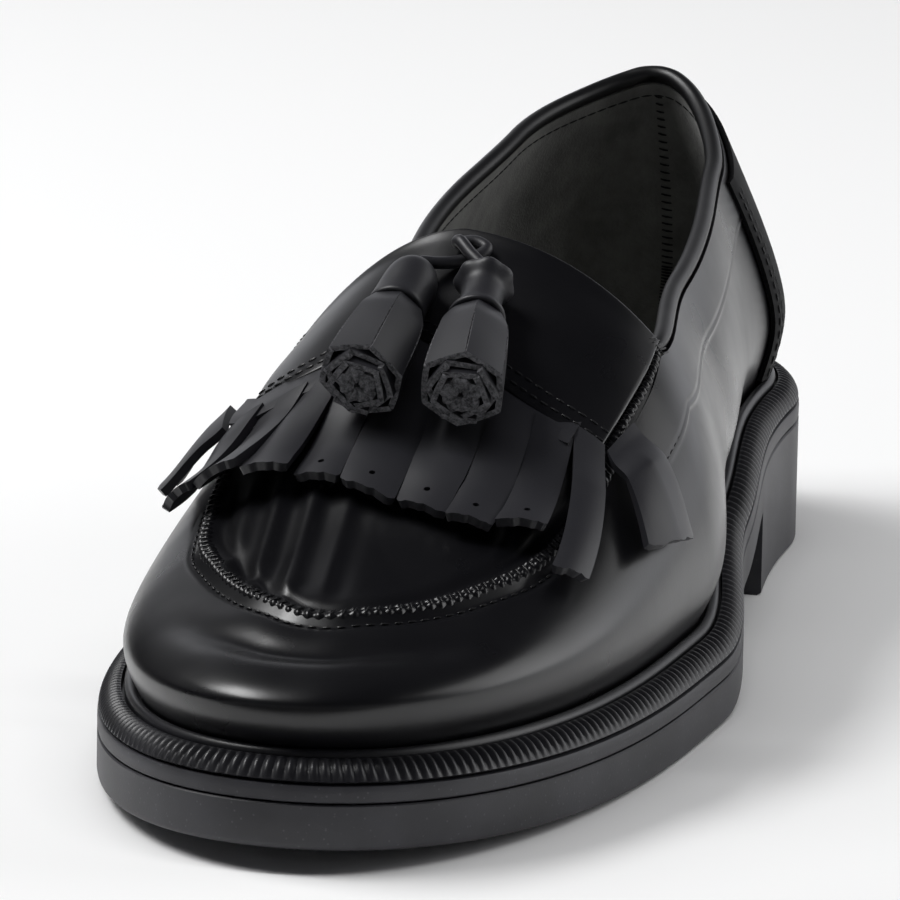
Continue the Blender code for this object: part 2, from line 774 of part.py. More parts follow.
def make_kiltie(material):
    """Fringe: strips fused to a band along the saddle's front edge."""
    along = [0.0, 0.08, 0.25, 0.42, 0.60, 0.80, 1.0]
    outer = []
    inner = []
    for row in along:
        over = []
        under = []
        for strip in STRIPS:
            left = np.array(strip["root"]) + (np.array(strip["end"]) - np.array(strip["root"])) * row
            right = np.array(strip["root to"])
            right = right + (np.array(strip["end to"]) - right) * row
            lift = strip["lift"] + (strip["tip"] - strip["lift"]) * row * row
            low = [vamp_point(*spot, lift) for spot in (left, right)]
            high = [vamp_point(*spot, lift + STRIP_THICKNESS) for spot in (left, right)]
            out = high[0] - low[0] + high[1] - low[1]
            out = out / np.linalg.norm(out)
            over += [high[0], (high[0] + high[1]) / 2.0 + out * STRIP_BOW, high[1]]
            under += [low[0], (low[0] + low[1]) / 2.0 + out * STRIP_BOW, low[1]]
        outer.append(over)
        inner.append(under)
    present = np.ones((len(along) - 1, 3 * len(STRIPS) - 1), bool)
    present[1:, 2::3] = False
    return masked_sheet("kiltie_fringe", material, outer, inner, present)


def over_instep(x, y, lift):
    """Point above a place given in plan, found by stepping along the surface."""
    station = 0.25 + 0.5 * math.asin(max(-1.0, min(1.0, -y / 100.0))) / math.pi
    across = x / 110.0
    for _ in range(30):
        here = vamp_point(station, across, lift)
        by_station = (vamp_point(station + 0.001, across, lift) - here) / 0.001
        by_across = (vamp_point(station, across + 0.001, lift) - here) / 0.001
        step = np.linalg.solve(
            np.array([[by_station[0], by_across[0]], [by_station[1], by_across[1]]]),
            np.array([x - here[0], y - here[1]]),
        )
        station = min(max(station + 0.7 * step[0], 0.20), 0.46)
        across = min(max(across + 0.7 * step[1], -0.6), 0.6)
    return vamp_point(station, across, lift)


def tassel_axis(tassel):
    head_lift = SADDLE_LIFT + SADDLE_THICKNESS + CLEARANCE + 0.55 * TASSEL_SKIRT / 2.0
    end_lift = SADDLE_LIFT + SADDLE_THICKNESS + tassel["lift"] + TASSEL_SKIRT / 2.0
    head = over_instep(*tassel["head"], head_lift)
    end = over_instep(*tassel["end"], end_lift)
    direction = (end - head) / np.linalg.norm(end - head)
    return head, direction


def make_tassel(tassel, material):
    """Turned head and a skirt of cut strips, in one."""
    head, direction = tassel_axis(tassel)
    side = np.cross(direction, (0.0, 0.0, 1.0))
    side /= np.linalg.norm(side)
    other = np.cross(side, direction)
    bm = bmesh.new()
    rings = []
    for row in TASSEL_PROFILE:
        ring = []
        for k in range(3 * TASSEL_STRIPS):
            groove = k % 3 == 0
            radius = TASSEL_SKIRT / 2.0 * (row["radius"] - (row["cut"] if groove else 0.0))
            turn = 2.0 * math.pi * k / (3 * TASSEL_STRIPS)
            offset = math.cos(turn) * side + math.sin(turn) * other
            ring.append(head + direction * TASSEL_LENGTH * row["share"] + offset * radius)
        rings.append(add_points(bm, ring))
    for a, b in zip(rings, rings[1:]):
        bridge_rows(bm, a, b, True)
    for ring, share, depth in ((rings[0], 0.0, 0.0), (rings[-1], 1.0, -2.0)):
        centre = add_points(bm, [head + direction * (TASSEL_LENGTH * share + depth)])[0]
        for k in range(len(ring)):
            bm.faces.new([ring[k], ring[(k + 1) % len(ring)], centre])
    bmesh.ops.recalc_face_normals(bm, faces=bm.faces)
    return new_object(tassel["name"], bm, material)


def lace_route():
    """From the medial tassel's head, twice round the knot, to the lateral tassel's head."""
    knot_lift = SADDLE_LIFT + SADDLE_THICKNESS + CLEARANCE + KNOT_RADIUS + LACE_THICKNESS / 2.0
    knot = over_instep(0.5, -15.0, knot_lift)
    radius = LACE_THICKNESS / 2.0
    ends = []
    for tassel in TASSELS:
        head, direction = tassel_axis(tassel)
        ends.append([head - direction * CLEARANCE, head - direction * (CLEARANCE + LACE_THICKNESS)])
    along = np.array([1.0, 0.0, 0.0])
    up = np.array([0.0, -0.45, 0.89])
    ahead = np.cross(up, along)
    points = list(ends[0])
    count = 22
    for k in range(count + 1):
        share = k / count
        turn = 2.0 * math.pi * (LACE_TURNS * share) - 0.5 * math.pi
        spot = knot + along * KNOT_WIDTH * (share - 0.5)
        points.append(spot + KNOT_RADIUS * (math.cos(turn) * ahead + math.sin(turn) * up))
    points += reversed(ends[1])
    return points, radius


def make_lace(material):
    points, radius = lace_route()
    curve = bpy.data.curves.new("tassel_lace", "CURVE")
    curve.dimensions = "3D"
    curve.bevel_depth = radius * MM
    curve.bevel_resolution = 2
    curve.use_fill_caps = True
    spline = curve.splines.new("POLY")
    spline.points.add(len(points) - 1)
    for point, place in zip(spline.points, points):
        point.co = (*(c * MM for c in place), 1.0)
    curve.materials.append(material)
    thing = bpy.data.objects.new("tassel_lace", curve)
    bpy.context.scene.collection.objects.link(thing)
    return thing


def main():
    for thing in list(bpy.data.objects):
        bpy.data.objects.remove(thing)
    rubber = leather("moulded_rubber", (0.045, 0.045, 0.05), 0.6)
    calf = leather("polished_calf", (0.012, 0.012, 0.014), 0.25)
    lining = leather("sock_leather", (0.02, 0.02, 0.02), 0.6)
    make_outsole(rubber)
    make_midsole(rubber)
    make_welt(calf)
    make_bead(calf)
    make_insole(lining)
    make_upper(calf)
    make_binding(calf)
    make_heel_counter(calf)
    make_saddle(calf)
    make_kiltie(calf)
    for tassel in TASSELS:
        make_tassel(tassel, calf)
    make_lace(calf)


main()
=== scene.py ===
"""Kiltie loafer, the wearer's left shoe: the look of the shoe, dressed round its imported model.

Metres, +Z up, toe towards -Y, outer side towards +X. The design works in millimetres.
"""

import math

import bpy
import numpy as np
from mathutils import Matrix, Vector


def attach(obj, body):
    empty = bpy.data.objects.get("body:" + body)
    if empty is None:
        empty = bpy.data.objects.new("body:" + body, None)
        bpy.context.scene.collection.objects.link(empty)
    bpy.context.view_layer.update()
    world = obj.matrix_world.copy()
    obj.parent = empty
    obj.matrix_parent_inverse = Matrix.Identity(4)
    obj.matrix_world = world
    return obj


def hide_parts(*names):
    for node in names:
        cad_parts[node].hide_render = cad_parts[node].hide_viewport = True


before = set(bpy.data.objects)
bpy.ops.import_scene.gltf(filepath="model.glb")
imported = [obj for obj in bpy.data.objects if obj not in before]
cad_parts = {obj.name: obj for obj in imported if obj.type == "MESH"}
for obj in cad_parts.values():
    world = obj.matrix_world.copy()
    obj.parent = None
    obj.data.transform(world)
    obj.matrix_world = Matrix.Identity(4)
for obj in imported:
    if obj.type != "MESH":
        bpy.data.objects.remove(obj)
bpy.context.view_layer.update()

MM = 0.001

# Sole, in millimetres
SOLE_LENGTH = 272.0
HEEL_WIDTH = 65.4
BALL_WIDTH = 99.0
WAIST_WIDTH = 72.8
FOREFOOT_THICKNESS = 11.1
HEEL_HEIGHT = 26.0
TOE_SPRING = 4.2
TOP_LAYER = 3.3
BREAST_FROM_BACK = 73.0
EDGE_ROUNDING = 1.2
ARCH_SHARE = 0.42
ARCH_SPREAD = 0.13
ARCH_SHIFT = 4.2
TOE_SHIFT = 2.2

# Upper, in millimetres
WALL = 2.0
FEATHER_INSET = 7.4
BACK_HEIGHT = 80.5
INSTEP_HEIGHT = 74.6
POLE_FROM_BACK = 42.0
POLE_FROM_TOE = 52.0
SEAM_HEIGHT = 1.3
SEAM_START = 0.31
SIDE_WAY = 0.34

# Joints between pieces, in millimetres
CLEARANCE = 0.3
WELT_FLANGE = 1.8
WELT_WIDTH = 3.9
WELT_STEP = 0.2
BEAD_RADIUS = 1.1
INSOLE_THICKNESS = 2.4
INSOLE_INSET = 0.6
BINDING_RADIUS = 1.6
BINDING_END = 0.004
SADDLE_THICKNESS = 1.9
SADDLE_LIFT = 0.6
STRIP_THICKNESS = 1.5
STRIP_BOW = 0.9
COUNTER_REACH = 0.126
COUNTER_THICKNESS = 1.1
COUNTER_LIFT = 0.5
COUNTER_STITCHES = (("outer", 0.0035), ("inner", 0.0085))

# Tassels and their lace, in millimetres
TASSEL_LENGTH = 35.5
TASSEL_SKIRT = 14.0
LACE_THICKNESS = 2.4


def table(names, *rows):
    """Rows of a table, each with its columns' names."""
    return [dict(zip(names.split(", "), row)) for row in rows]


# Outline of the sole, each side: shares of the length from the back
OUTLINE = {
    "heel share": 0.146,
    "waist share": 0.374,
    "lateral ball share": 0.583,
    "medial ball share": 0.625,
    "toe roundness": 2.12,
    "heel roundness": 2.02,
}

# Ridge of the upper: share of sole length from the back, share of instep height, shift to the side in mm
RIDGE = table(
    "share, height, shift",
    (0.15, 1.42, 0.0),
    (0.3, 1.36, 0.0),
    (0.46, 1.12, -1.0),
    (0.53, 1.0, -2.0),
    (0.6, 0.86, -3.0),
    (0.68, 0.7, -3.0),
    (0.76, 0.58, -2.0),
    (0.82, 0.52, 0.0),
)

# Walls of the upper by station round the feather, 0 at the back, 0.25 lateral, 0.5 toe, 0.75 medial:
# bulge beyond the feather in mm, height of the widest place in mm, fullness upwards and across
WALLS = table(
    "station, bulge, widest, up, across",
    (0.0, 4.9, 15.0, 0.37, 0.54),
    (0.03, 4.6, 14.6, 0.29, 0.42),
    (0.06, 4.1, 14.0, 0.2, 0.32),
    (0.09, 3.7, 13.4, 0.2, 0.22),
    (0.12, 3.5, 13.0, 0.2, 0.27),
    (0.16, 3.6, 13.0, 0.24, 0.43),
    (0.2, 3.7, 13.0, 0.32, 0.36),
    (0.27, 4.5, 12.0, 0.47, 0.61),
    (0.38, 5.3, 11.0, 0.38, 0.56),
    (0.5, 4.5, 10.0, 0.4, 0.54),
    (0.62, 3.7, 9.0, 0.28, 0.42),
    (0.73, 3.7, 10.0, 0.25, 0.5),
    (0.8, 3.7, 13.0, 0.3, 0.54),
    (0.88, 4.5, 15.0, 0.2, 0.36),
    (0.94, 4.9, 15.0, 0.2, 0.4),
    (1.0, 4.9, 15.0, 0.37, 0.54),
)

# Collar from the back to the throat's corner: station, share of the back height on each side
THROAT = 0.26
COLLAR = table(
    "station, lateral, medial",
    (0.0, 1.0, 1.0),
    (0.012, 0.997, 0.998),
    (0.03, 0.983, 0.985),
    (0.06, 0.949, 0.962),
    (0.12, 0.88, 0.915),
    (0.2, 0.793, 0.805),
    (0.26, 0.74, 0.735),
)

# Seam round the plug: station, share of the way from the feather to the ridge
PLUG_SEAM = table(
    "station, way",
    (0.26, 0.64),
    (0.3, 0.655),
    (0.35, 0.652),
    (0.38, 0.69),
    (0.42, 0.748),
    (0.46, 0.798),
    (0.5, 0.814),
)

# Front edge of the saddle strap: across the instep from medial to lateral, and its station
SADDLE_REACH = 0.315
CREST_TURN = 0.16
CREST_SHIFT = 0.032
SADDLE_FRONT = table(
    "across, station",
    (-0.315, 0.292),
    (-0.18, 0.302),
    (0.0, 0.308),
    (0.18, 0.31),
    (0.315, 0.306),
)

# Strips of the fringe from medial to lateral. Across is 0 on the ridge and counts down the wall;
# each strip runs from its root to its end, and the tips stand off the vamp by a lift in mm.
STRIPS = table(
    "root, root to, end, end to, lift, tip",
    ((0.288, -0.35), (0.303, -0.335), (0.286, -0.5), (0.309, -0.46), 3.4, 4.5),
    ((0.304, -0.325), (0.306, -0.262), (0.33, -0.42), (0.336, -0.35), 2.6, 5.0),
    ((0.306, -0.257), (0.308, -0.187), (0.337, -0.34), (0.345, -0.262), 1.6, 6.0),
    ((0.308, -0.182), (0.309, -0.12), (0.346, -0.25), (0.356, -0.172), 1.0, 5.0),
    ((0.309, -0.115), (0.31, -0.044), (0.358, -0.162), (0.378, -0.066), 0.6, 2.0),
    ((0.31, -0.039), (0.311, 0.044), (0.38, -0.054), (0.383, 0.066), 0.6, 1.6),
    ((0.311, 0.049), (0.311, 0.126), (0.382, 0.078), (0.37, 0.164), 0.6, 1.8),
    ((0.311, 0.131), (0.311, 0.196), (0.369, 0.172), (0.359, 0.244), 0.7, 2.4),
    ((0.311, 0.201), (0.31, 0.266), (0.357, 0.254), (0.346, 0.33), 1.0, 3.0),
    ((0.309, 0.271), (0.307, 0.328), (0.355, 0.395), (0.345, 0.462), 2.4, 2.6),
    ((0.306, 0.338), (0.291, 0.352), (0.318, 0.492), (0.294, 0.545), 2.6, 2.6),
)

# Tassels: where the head and the end of each lie on the instep, and the gap under the end, in mm
TASSELS = table(
    "name, head, end, lift",
    ("tassel_medial", (-6.0, -21.5), (-7.0, -51.0), 1.2),
    ("tassel_lateral", (6.4, -22.5), (11.2, -54.5), 2.2),
)

# Turned outline of a tassel: share of its length, share of the skirt's radius
TASSEL_PROFILE = table(
    "share, radius",
    (0.0, 0.3),
    (0.03, 0.46),
    (0.1, 0.53),
    (0.3, 0.53),
    (0.38, 0.66),
    (0.5, 0.84),
    (0.75, 0.95),
    (1.0, 1.0),
)


def ease(t):
    t = np.clip(t, 0.0, 1.0)
    return t * t * (3.0 - 2.0 * t)


def between(a, b, count):
    """Even steps from one point or row of points to another."""
    share = np.linspace(0.0, 1.0, count).reshape((-1,) + (1,) * np.ndim(a))
    return a * (1.0 - share) + b * share


def unit(vectors):
    return vectors / np.linalg.norm(vectors, axis=-1, keepdims=True)


def run_along(path):
    """Length along a path up to each of its points."""
    return np.concatenate([[0.0], np.cumsum(np.linalg.norm(np.diff(path, axis=0), axis=1))])


def column(rows, name):
    return np.array([row[name] for row in rows])


def read_table(rows, key, name, at, level_ends=False):
    """Smooth curve through one column of a table, without overshoot."""
    x = column(rows, key)
    y = column(rows, name)
    step = np.diff(x)
    slope = np.diff(y) / step
    tangent = np.zeros(len(x))
    same = slope[:-1] * slope[1:] > 0.0
    mean = np.where(same, 2.0 * slope[:-1] * slope[1:] / np.where(same, slope[:-1] + slope[1:], 1.0), 0.0)
    tangent[1:-1] = mean
    if not level_ends:
        tangent[0] = slope[0]
        tangent[-1] = slope[-1]
    at = np.clip(np.asarray(at, float), x[0], x[-1])
    i = np.clip(np.searchsorted(x, at, side="right") - 1, 0, len(x) - 2)
    t = (at - x[i]) / step[i]
    h00 = (1.0 + 2.0 * t) * (1.0 - t) ** 2
    h10 = t * (1.0 - t) ** 2
    h01 = t * t * (3.0 - 2.0 * t)
    h11 = t * t * (t - 1.0)
    return h00 * y[i] + h10 * step[i] * tangent[i] + h01 * y[i + 1] + h11 * step[i] * tangent[i + 1]


# Sole

def half_width(share, ball_share):
    heel_share = OUTLINE["heel share"]
    waist_share = OUTLINE["waist share"]
    heel = HEEL_WIDTH / 2.0
    waist = WAIST_WIDTH / 2.0
    ball = BALL_WIDTH / 2.0
    behind = np.clip((heel_share - share) / heel_share, 0.0, 1.0)
    ahead = np.clip((share - ball_share) / (1.0 - ball_share), 0.0, 1.0)
    round_heel = OUTLINE["heel roundness"]
    round_toe = OUTLINE["toe roundness"]
    heel_part = heel * (1.0 - behind ** round_heel) ** (1.0 / round_heel)
    toe_part = ball * (1.0 - ahead ** round_toe) ** (1.0 / round_toe)
    to_waist = heel + (waist - heel) * ease((share - heel_share) / (waist_share - heel_share))
    to_ball = waist + (ball - waist) * ease((share - waist_share) / (ball_share - waist_share))
    middle = np.where(share < waist_share, to_waist, to_ball)
    return np.where(share < heel_share, heel_part, np.where(share > ball_share, toe_part, middle))


def sole_outline(station):
    """Edge of the sole: station 0 at the back, 0.25 lateral, 0.5 at the toe, 0.75 medial."""
    station = np.asarray(station, float)
    share = (1.0 - np.cos(2.0 * np.pi * station)) / 2.0
    lateral = np.sin(2.0 * np.pi * station) >= 0.0
    width = np.where(
        lateral,
        half_width(share, OUTLINE["lateral ball share"]),
        -half_width(share, OUTLINE["medial ball share"]),
    )
    arch = ARCH_SHIFT * np.exp(-(((share - ARCH_SHARE) / ARCH_SPREAD) ** 2))
    toe = TOE_SHIFT * np.clip((share - 0.37) / 0.63, 0.0, 1.0) ** 1.6
    return np.stack([width + arch + toe, SOLE_LENGTH * (0.5 - share)], axis=-1)


def inset_outline(station, inset):
    """The outline moved inwards by a distance, one or one per station, measured square to it."""
    small = 0.004
    along = unit(sole_outline(station + small) - sole_outline(station - small))
    inward = np.stack([along[..., 1], -along[..., 0]], axis=-1)
    return sole_outline(station) + inward * np.asarray(inset)[..., None]


def share_of(y):
    return 0.5 - y / SOLE_LENGTH


def sole_rise(y):
    """Height of the sole plate's underside above the floor: heel, waist, flat tread and toe spring."""
    share = share_of(y)
    waist = (HEEL_HEIGHT - FOREFOOT_THICKNESS) * ease((0.60 - share) / 0.38)
    spring = TOE_SPRING * np.clip((share - 0.66) / 0.34, 0.0, 1.0) ** 2
    return waist + spring


def sole_top(y):
    return sole_rise(y) + FOREFOOT_THICKNESS


def welt_seat(y):
    return sole_top(y) + CLEARANCE


def feather_height(y):
    return welt_seat(y) + WELT_FLANGE + CLEARANCE


# Surface of the upper

def spine(station):
    back = SOLE_LENGTH / 2.0 - POLE_FROM_BACK
    front = -SOLE_LENGTH / 2.0 + POLE_FROM_TOE
    y = (back + front) / 2.0 + (back - front) / 2.0 * np.cos(2.0 * np.pi * station)
    x = read_table(RIDGE, "share", "shift", share_of(y))
    return np.stack([x, y], axis=-1)


def ridge_height(y):
    return INSTEP_HEIGHT * read_table(RIDGE, "share", "height", share_of(y))


def bezier(p0, p1, p2, p3, t):
    return (1 - t) ** 3 * p0 + 3 * (1 - t) ** 2 * t * p1 + 3 * (1 - t) * t * t * p2 + t ** 3 * p3


def wall_shape(name, station):
    """One column of the walls' table, evened out round the shoe."""
    total = 0.0
    for shift, weight in ((-0.03, 0.1), (-0.015, 0.2), (0.0, 0.4), (0.015, 0.2), (0.03, 0.1)):
        total = total + weight * read_table(WALLS, "station", name, (station + shift) % 1.0, True)
    return total


def bare_surface(station, way):
    """Point of the upper's outside: way 0 on the feather line, 1 on the ridge."""
    station = np.asarray(station, float)
    way = np.asarray(way, float)
    station, way = np.broadcast_arrays(station, way)
    feather = inset_outline(station, FEATHER_INSET)
    top = spine(station)
    out = feather - top
    reach = np.linalg.norm(out, axis=-1)
    out = out / reach[..., None]
    low = feather_height(feather[..., 1])
    high = ridge_height(top[..., 1])
    station = station % 1.0
    bulge = wall_shape("bulge", station)
    widest = low + wall_shape("widest", station)
    up = wall_shape("up", station)
    across = wall_shape("across", station)
    wide = reach + bulge
    slope = (ridge_height(top[..., 1] + 1.0) - ridge_height(top[..., 1] - 1.0)) / 2.0
    t = np.clip(way / SIDE_WAY, 0.0, 1.0)
    side_r = bezier(reach, reach, wide, wide, t)
    side_z = bezier(low, low + 0.2 * (widest - low), low + 0.6 * (widest - low), widest, t)
    t = np.clip((way - SIDE_WAY) / (1.0 - SIDE_WAY), 0.0, 1.0)
    top_r = bezier(wide, wide, across * wide, 0.0 * wide, t)
    tilt = across * wide * slope * out[..., 1]
    top_z = bezier(widest, widest + up * (high - widest), high + tilt, high, t)
    on_side = way < SIDE_WAY
    r = np.where(on_side, side_r, top_r)
    z = np.where(on_side, side_z, top_z)
    return np.stack([top[..., 0] + out[..., 0] * r, top[..., 1] + out[..., 1] * r, z], axis=-1)


def surface_normal(station, way):
    small = 0.002
    way = np.clip(way, 0.004, 0.985)
    du = bare_surface(station + small, way) - bare_surface(station - small, way)
    dv = bare_surface(station, way + small) - bare_surface(station, way - small)
    return unit(np.cross(dv, du))


def upper_surface(station, way, lift):
    """Outside of the upper, moved off it by lift millimetres."""
    station, way, lift = np.broadcast_arrays(
        np.asarray(station, float), np.asarray(way, float), np.asarray(lift, float)
    )
    return bare_surface(station, way) + surface_normal(station, way) * lift[..., None]


def way_at_height(station, height):
    """Way up the wall at which the surface reaches a height."""
    ways = np.linspace(0.0, 1.0, 201)
    heights = bare_surface(station, ways)[:, 2]
    rising = np.maximum.accumulate(heights)
    return float(np.interp(height, rising, ways))


def folded(station):
    """Same station on the lateral side."""
    station = station % 1.0
    return min(station, 1.0 - station)


def top_way(station):
    """Collar behind the throat's corner, seam of the plug ahead of it."""
    station = station % 1.0
    side = folded(station)
    column_name = "lateral" if station < 0.5 else "medial"
    if side <= THROAT:
        height = BACK_HEIGHT * float(read_table(COLLAR, "station", column_name, side, True))
        return way_at_height(station, height)
    corner_station = THROAT if station < 0.5 else 1.0 - THROAT
    corner = way_at_height(corner_station, BACK_HEIGHT * COLLAR[-1][column_name])
    seam = float(read_table(PLUG_SEAM, "station", "way", side, True))
    blend = float(ease((side - THROAT) / 0.06))
    return corner + (seam - corner) * blend


def over_crest(station, across):
    """Lines across the instep bend over its crest instead of meeting at an angle."""
    across = np.abs(across)
    turn = np.sqrt(across ** 2 + CREST_TURN ** 2) - across
    fade = np.clip((0.5 - station) / (0.5 - THROAT), 0.0, 1.0)
    return station + CREST_SHIFT * turn * fade


def vamp_point(station, across, lift):
    """Point over the vamp: across 0 on the ridge, positive to the lateral side, counted down the wall."""
    across = np.asarray(across, float)
    station = over_crest(np.asarray(station, float), across)
    side = np.where(across >= 0.0, station, 1.0 - station)
    return upper_surface(side, 1.0 - np.abs(across), lift)


def over_instep(x, y, lift):
    """Point above a place given in plan, found by stepping along the surface."""
    station = 0.25 + 0.5 * math.asin(max(-1.0, min(1.0, -y / 100.0))) / math.pi
    across = x / 110.0
    for _ in range(30):
        here = vamp_point(station, across, lift)
        by_station = (vamp_point(station + 0.001, across, lift) - here) / 0.001
        by_across = (vamp_point(station, across + 0.001, lift) - here) / 0.001
        step = np.linalg.solve(
            np.array([[by_station[0], by_across[0]], [by_station[1], by_across[1]]]),
            np.array([x - here[0], y - here[1]]),
        )
        station = min(max(station + 0.7 * step[0], 0.20), 0.46)
        across = min(max(across + 0.7 * step[1], -0.6), 0.6)
    return vamp_point(station, across, lift)


def tassel_axis(tassel):
    head_lift = SADDLE_LIFT + SADDLE_THICKNESS + CLEARANCE + 0.55 * TASSEL_SKIRT / 2.0
    end_lift = SADDLE_LIFT + SADDLE_THICKNESS + tassel["lift"] + TASSEL_SKIRT / 2.0
    head = over_instep(*tassel["head"], head_lift)
    end = over_instep(*tassel["end"], end_lift)
    return head, unit(end - head)


# Shaping meshes

def choose(piece):
    bpy.ops.object.select_all(action="DESELECT")
    piece.select_set(True)
    bpy.context.view_layer.objects.active = piece


def linked(name, data):
    """A new object in the scene that shows some data."""
    made = bpy.data.objects.new(name, data)
    bpy.context.scene.collection.objects.link(made)
    return made


def shaped_grid(name, points):
    """A grid primitive laid over rows and columns of points, given in millimetres."""
    rows, columns = points.shape[:2]
    bpy.ops.object.select_all(action="DESELECT")
    bpy.ops.mesh.primitive_grid_add(x_subdivisions=columns - 1, y_subdivisions=rows - 1, size=1.0)
    piece = bpy.context.object
    piece.name = name
    piece.data.name = name
    piece.data.vertices.foreach_set("co", (points * MM).ravel())
    piece.data.update()
    return piece


def shaped_ring(name, points):
    """A grid closed into a ring: stations round the shoe by points round its section."""
    points = np.concatenate([points, points[:1]], axis=0)
    points = np.concatenate([points, points[:, :1]], axis=1)
    return weld(shaped_grid(name, points))


def weld(piece, distance=0.01):
    """Joins points that lie together, and turns the faces outwards."""
    choose(piece)
    bpy.ops.object.mode_set(mode="EDIT")
    bpy.ops.mesh.select_all(action="SELECT")
    bpy.ops.mesh.remove_doubles(threshold=distance * MM)
    bpy.ops.mesh.normals_make_consistent(inside=False)
    bpy.ops.object.mode_set(mode="OBJECT")
    return piece


def close_ends(piece):
    """Fills the open ends of a tube."""
    choose(piece)
    bpy.ops.object.mode_set(mode="EDIT")
    bpy.ops.mesh.select_all(action="DESELECT")
    bpy.ops.mesh.select_mode(type="EDGE")
    bpy.ops.mesh.select_non_manifold()
    bpy.ops.mesh.fill()
    bpy.ops.mesh.select_all(action="SELECT")
    bpy.ops.mesh.normals_make_consistent(inside=False)
    bpy.ops.mesh.select_mode(type="VERT")
    bpy.ops.object.mode_set(mode="OBJECT")
    return piece


def modify(piece, kind, **settings):
    choose(piece)
    step = piece.modifiers.new(kind.title(), kind)
    for name, value in settings.items():
        setattr(step, name, value)
    bpy.ops.object.modifier_apply(modifier=step.name)
    return piece


def thicken(piece, thickness, rim=0):
    """Gives a sheet its thickness, away from the side that its faces look to."""
    settings = {"offset": -1.0, "use_even_offset": True, "material_offset_rim": rim}
    return modify(piece, "SOLIDIFY", thickness=thickness * MM, **settings)


def joined(name, pieces):
    choose(pieces[0])
    for piece in pieces[1:]:
        piece.select_set(True)
    bpy.ops.object.join()
    pieces[0].name = name
    pieces[0].data.name = name
    return pieces[0]


def finish_piece(piece, nodes, materials=None, angle=40.0):
    """Smooths a piece, gives it its materials unless it has them, and ties it to the shoe."""
    choose(piece)
    bpy.ops.object.shade_smooth_by_angle(angle=math.radians(angle))
    if materials is not None:
        piece.data.materials.clear()
        wear(piece, *materials)
    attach(piece, "root")
    if nodes:
        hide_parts(*nodes)
    return piece


def wear(piece, *materials):
    for material in materials:
        piece.data.materials.append(material)


def sheet(name, rows, centre):
    """An open sheet laid over rows of points, its faces away from a point inside the shoe."""
    return outward(shaped_grid(name, np.array(rows)), centre)


def outward(piece, centre):
    mesh = piece.data
    total = 0.0
    for face in mesh.polygons:
        total += face.normal.dot(face.center - Vector(centre)) * face.area
    if total < 0.0:
        mesh.flip_normals()
    return piece


def shaped_tube(name, path, radii, sides, flat=1.0):
    """A round tube along a path, with a radius at each point and closed ends."""
    path = np.asarray(path, float)
    radii = np.broadcast_to(np.asarray(radii, float), (len(path),))
    along = unit(np.gradient(path, axis=0))
    side = unit(np.cross(along[0], (0.0, 0.0, 1.0)))
    rings = []
    turns = np.linspace(0.0, 2.0 * math.pi, sides + 1)
    for point, direction, radius in zip(path, along, radii):
        side = unit(side - direction * np.dot(side, direction))
        other = np.cross(direction, side)
        rings.append(point + radius * (np.cos(turns)[:, None] * side + flat * np.sin(turns)[:, None] * other))
    return close_ends(weld(shaped_grid(name, np.array(rings))))


def resample(path, pitch):
    """Points along a path at an even pitch, with the share of the path at each."""
    path = np.asarray(path, float)
    run = run_along(path)
    count = max(2, int(run[-1] / pitch))
    at = (np.arange(count) + 0.5) / count * run[-1]
    points = np.stack([np.interp(at, run, path[:, k]) for k in range(3)], axis=-1)
    return points, at / run[-1]


def stitch_row(name, path, up, length, pitch, radius, slant=0.0):
    """A row of thread stitches: one small spindle, copied along a path."""
    bpy.ops.object.select_all(action="DESELECT")
    bpy.ops.mesh.primitive_uv_sphere_add(segments=6, ring_count=5, radius=1.0)
    seed = bpy.context.object
    base = np.array([v.co for v in seed.data.vertices])
    faces = [tuple(p.vertices) for p in seed.data.polygons]
    spots, shares = resample(path, pitch)
    run = np.linspace(0.0, 1.0, len(up))
    ups = np.stack([np.interp(shares, run, np.asarray(up)[:, k]) for k in range(3)], axis=-1)
    along = unit(np.gradient(spots, axis=0))
    side = unit(np.cross(ups, along))
    top = np.cross(along, side)
    turned = along * math.cos(slant) + side * math.sin(slant)
    across = np.cross(top, turned)
    wide = base[:, 0:1] * radius
    high = base[:, 1:2] * radius * 0.8
    long = base[:, 2:3] * length / 2.0
    points = [s + long * t + wide * a + high * u for s, t, a, u in zip(spots, turned, across, top)]
    count = len(base)
    every = [tuple(v + count * k for v in face) for k in range(len(spots)) for face in faces]
    mesh = bpy.data.meshes.new(name)
    mesh.from_pydata((np.concatenate(points) * MM).tolist(), [], every)
    bpy.data.objects.remove(seed)
    return linked(name, mesh)


# Stitches: length, pitch and radius in mm, and the slant of each across its row in radians
STITCHES = {
    "counter": (1.7, 2.3, 0.2, 0.0),
    "seam over": (2.0, 1.9, 0.17, 1.15),
    "seam outer": (1.6, 2.4, 0.26, 0.0),
    "topline": (1.8, 2.4, 0.24, 0.0),
    "lining": (2.2, 2.3, 0.2, 0.0),
    "saddle": (1.7, 2.3, 0.26, 0.0),
    "side seam": (1.9, 1.8, 0.16, 1.2),
    "bartack": (2.6, 0.75, 0.2, 1.45),
}


def stitches(kind, name, path, up, thread):
    """A row of one kind of stitch, as a piece of its own."""
    return finish_piece(stitch_row(name, path, up, *STITCHES[kind]), [], [thread])


def on_surface(stations, ways, lift):
    stations, ways = np.broadcast_arrays(np.asarray(stations, float), np.asarray(ways, float))
    return upper_surface(stations % 1.0, ways, lift), surface_normal(stations % 1.0, ways)


# Finishes

def colour(code):
    """Linear colour of an sRGB hex code."""
    parts = [int(code[i:i + 2], 16) / 255.0 for i in (1, 3, 5)]
    linear = [c / 12.92 if c <= 0.04045 else ((c + 0.055) / 1.055) ** 2.4 for c in parts]
    return (*linear, 1.0)


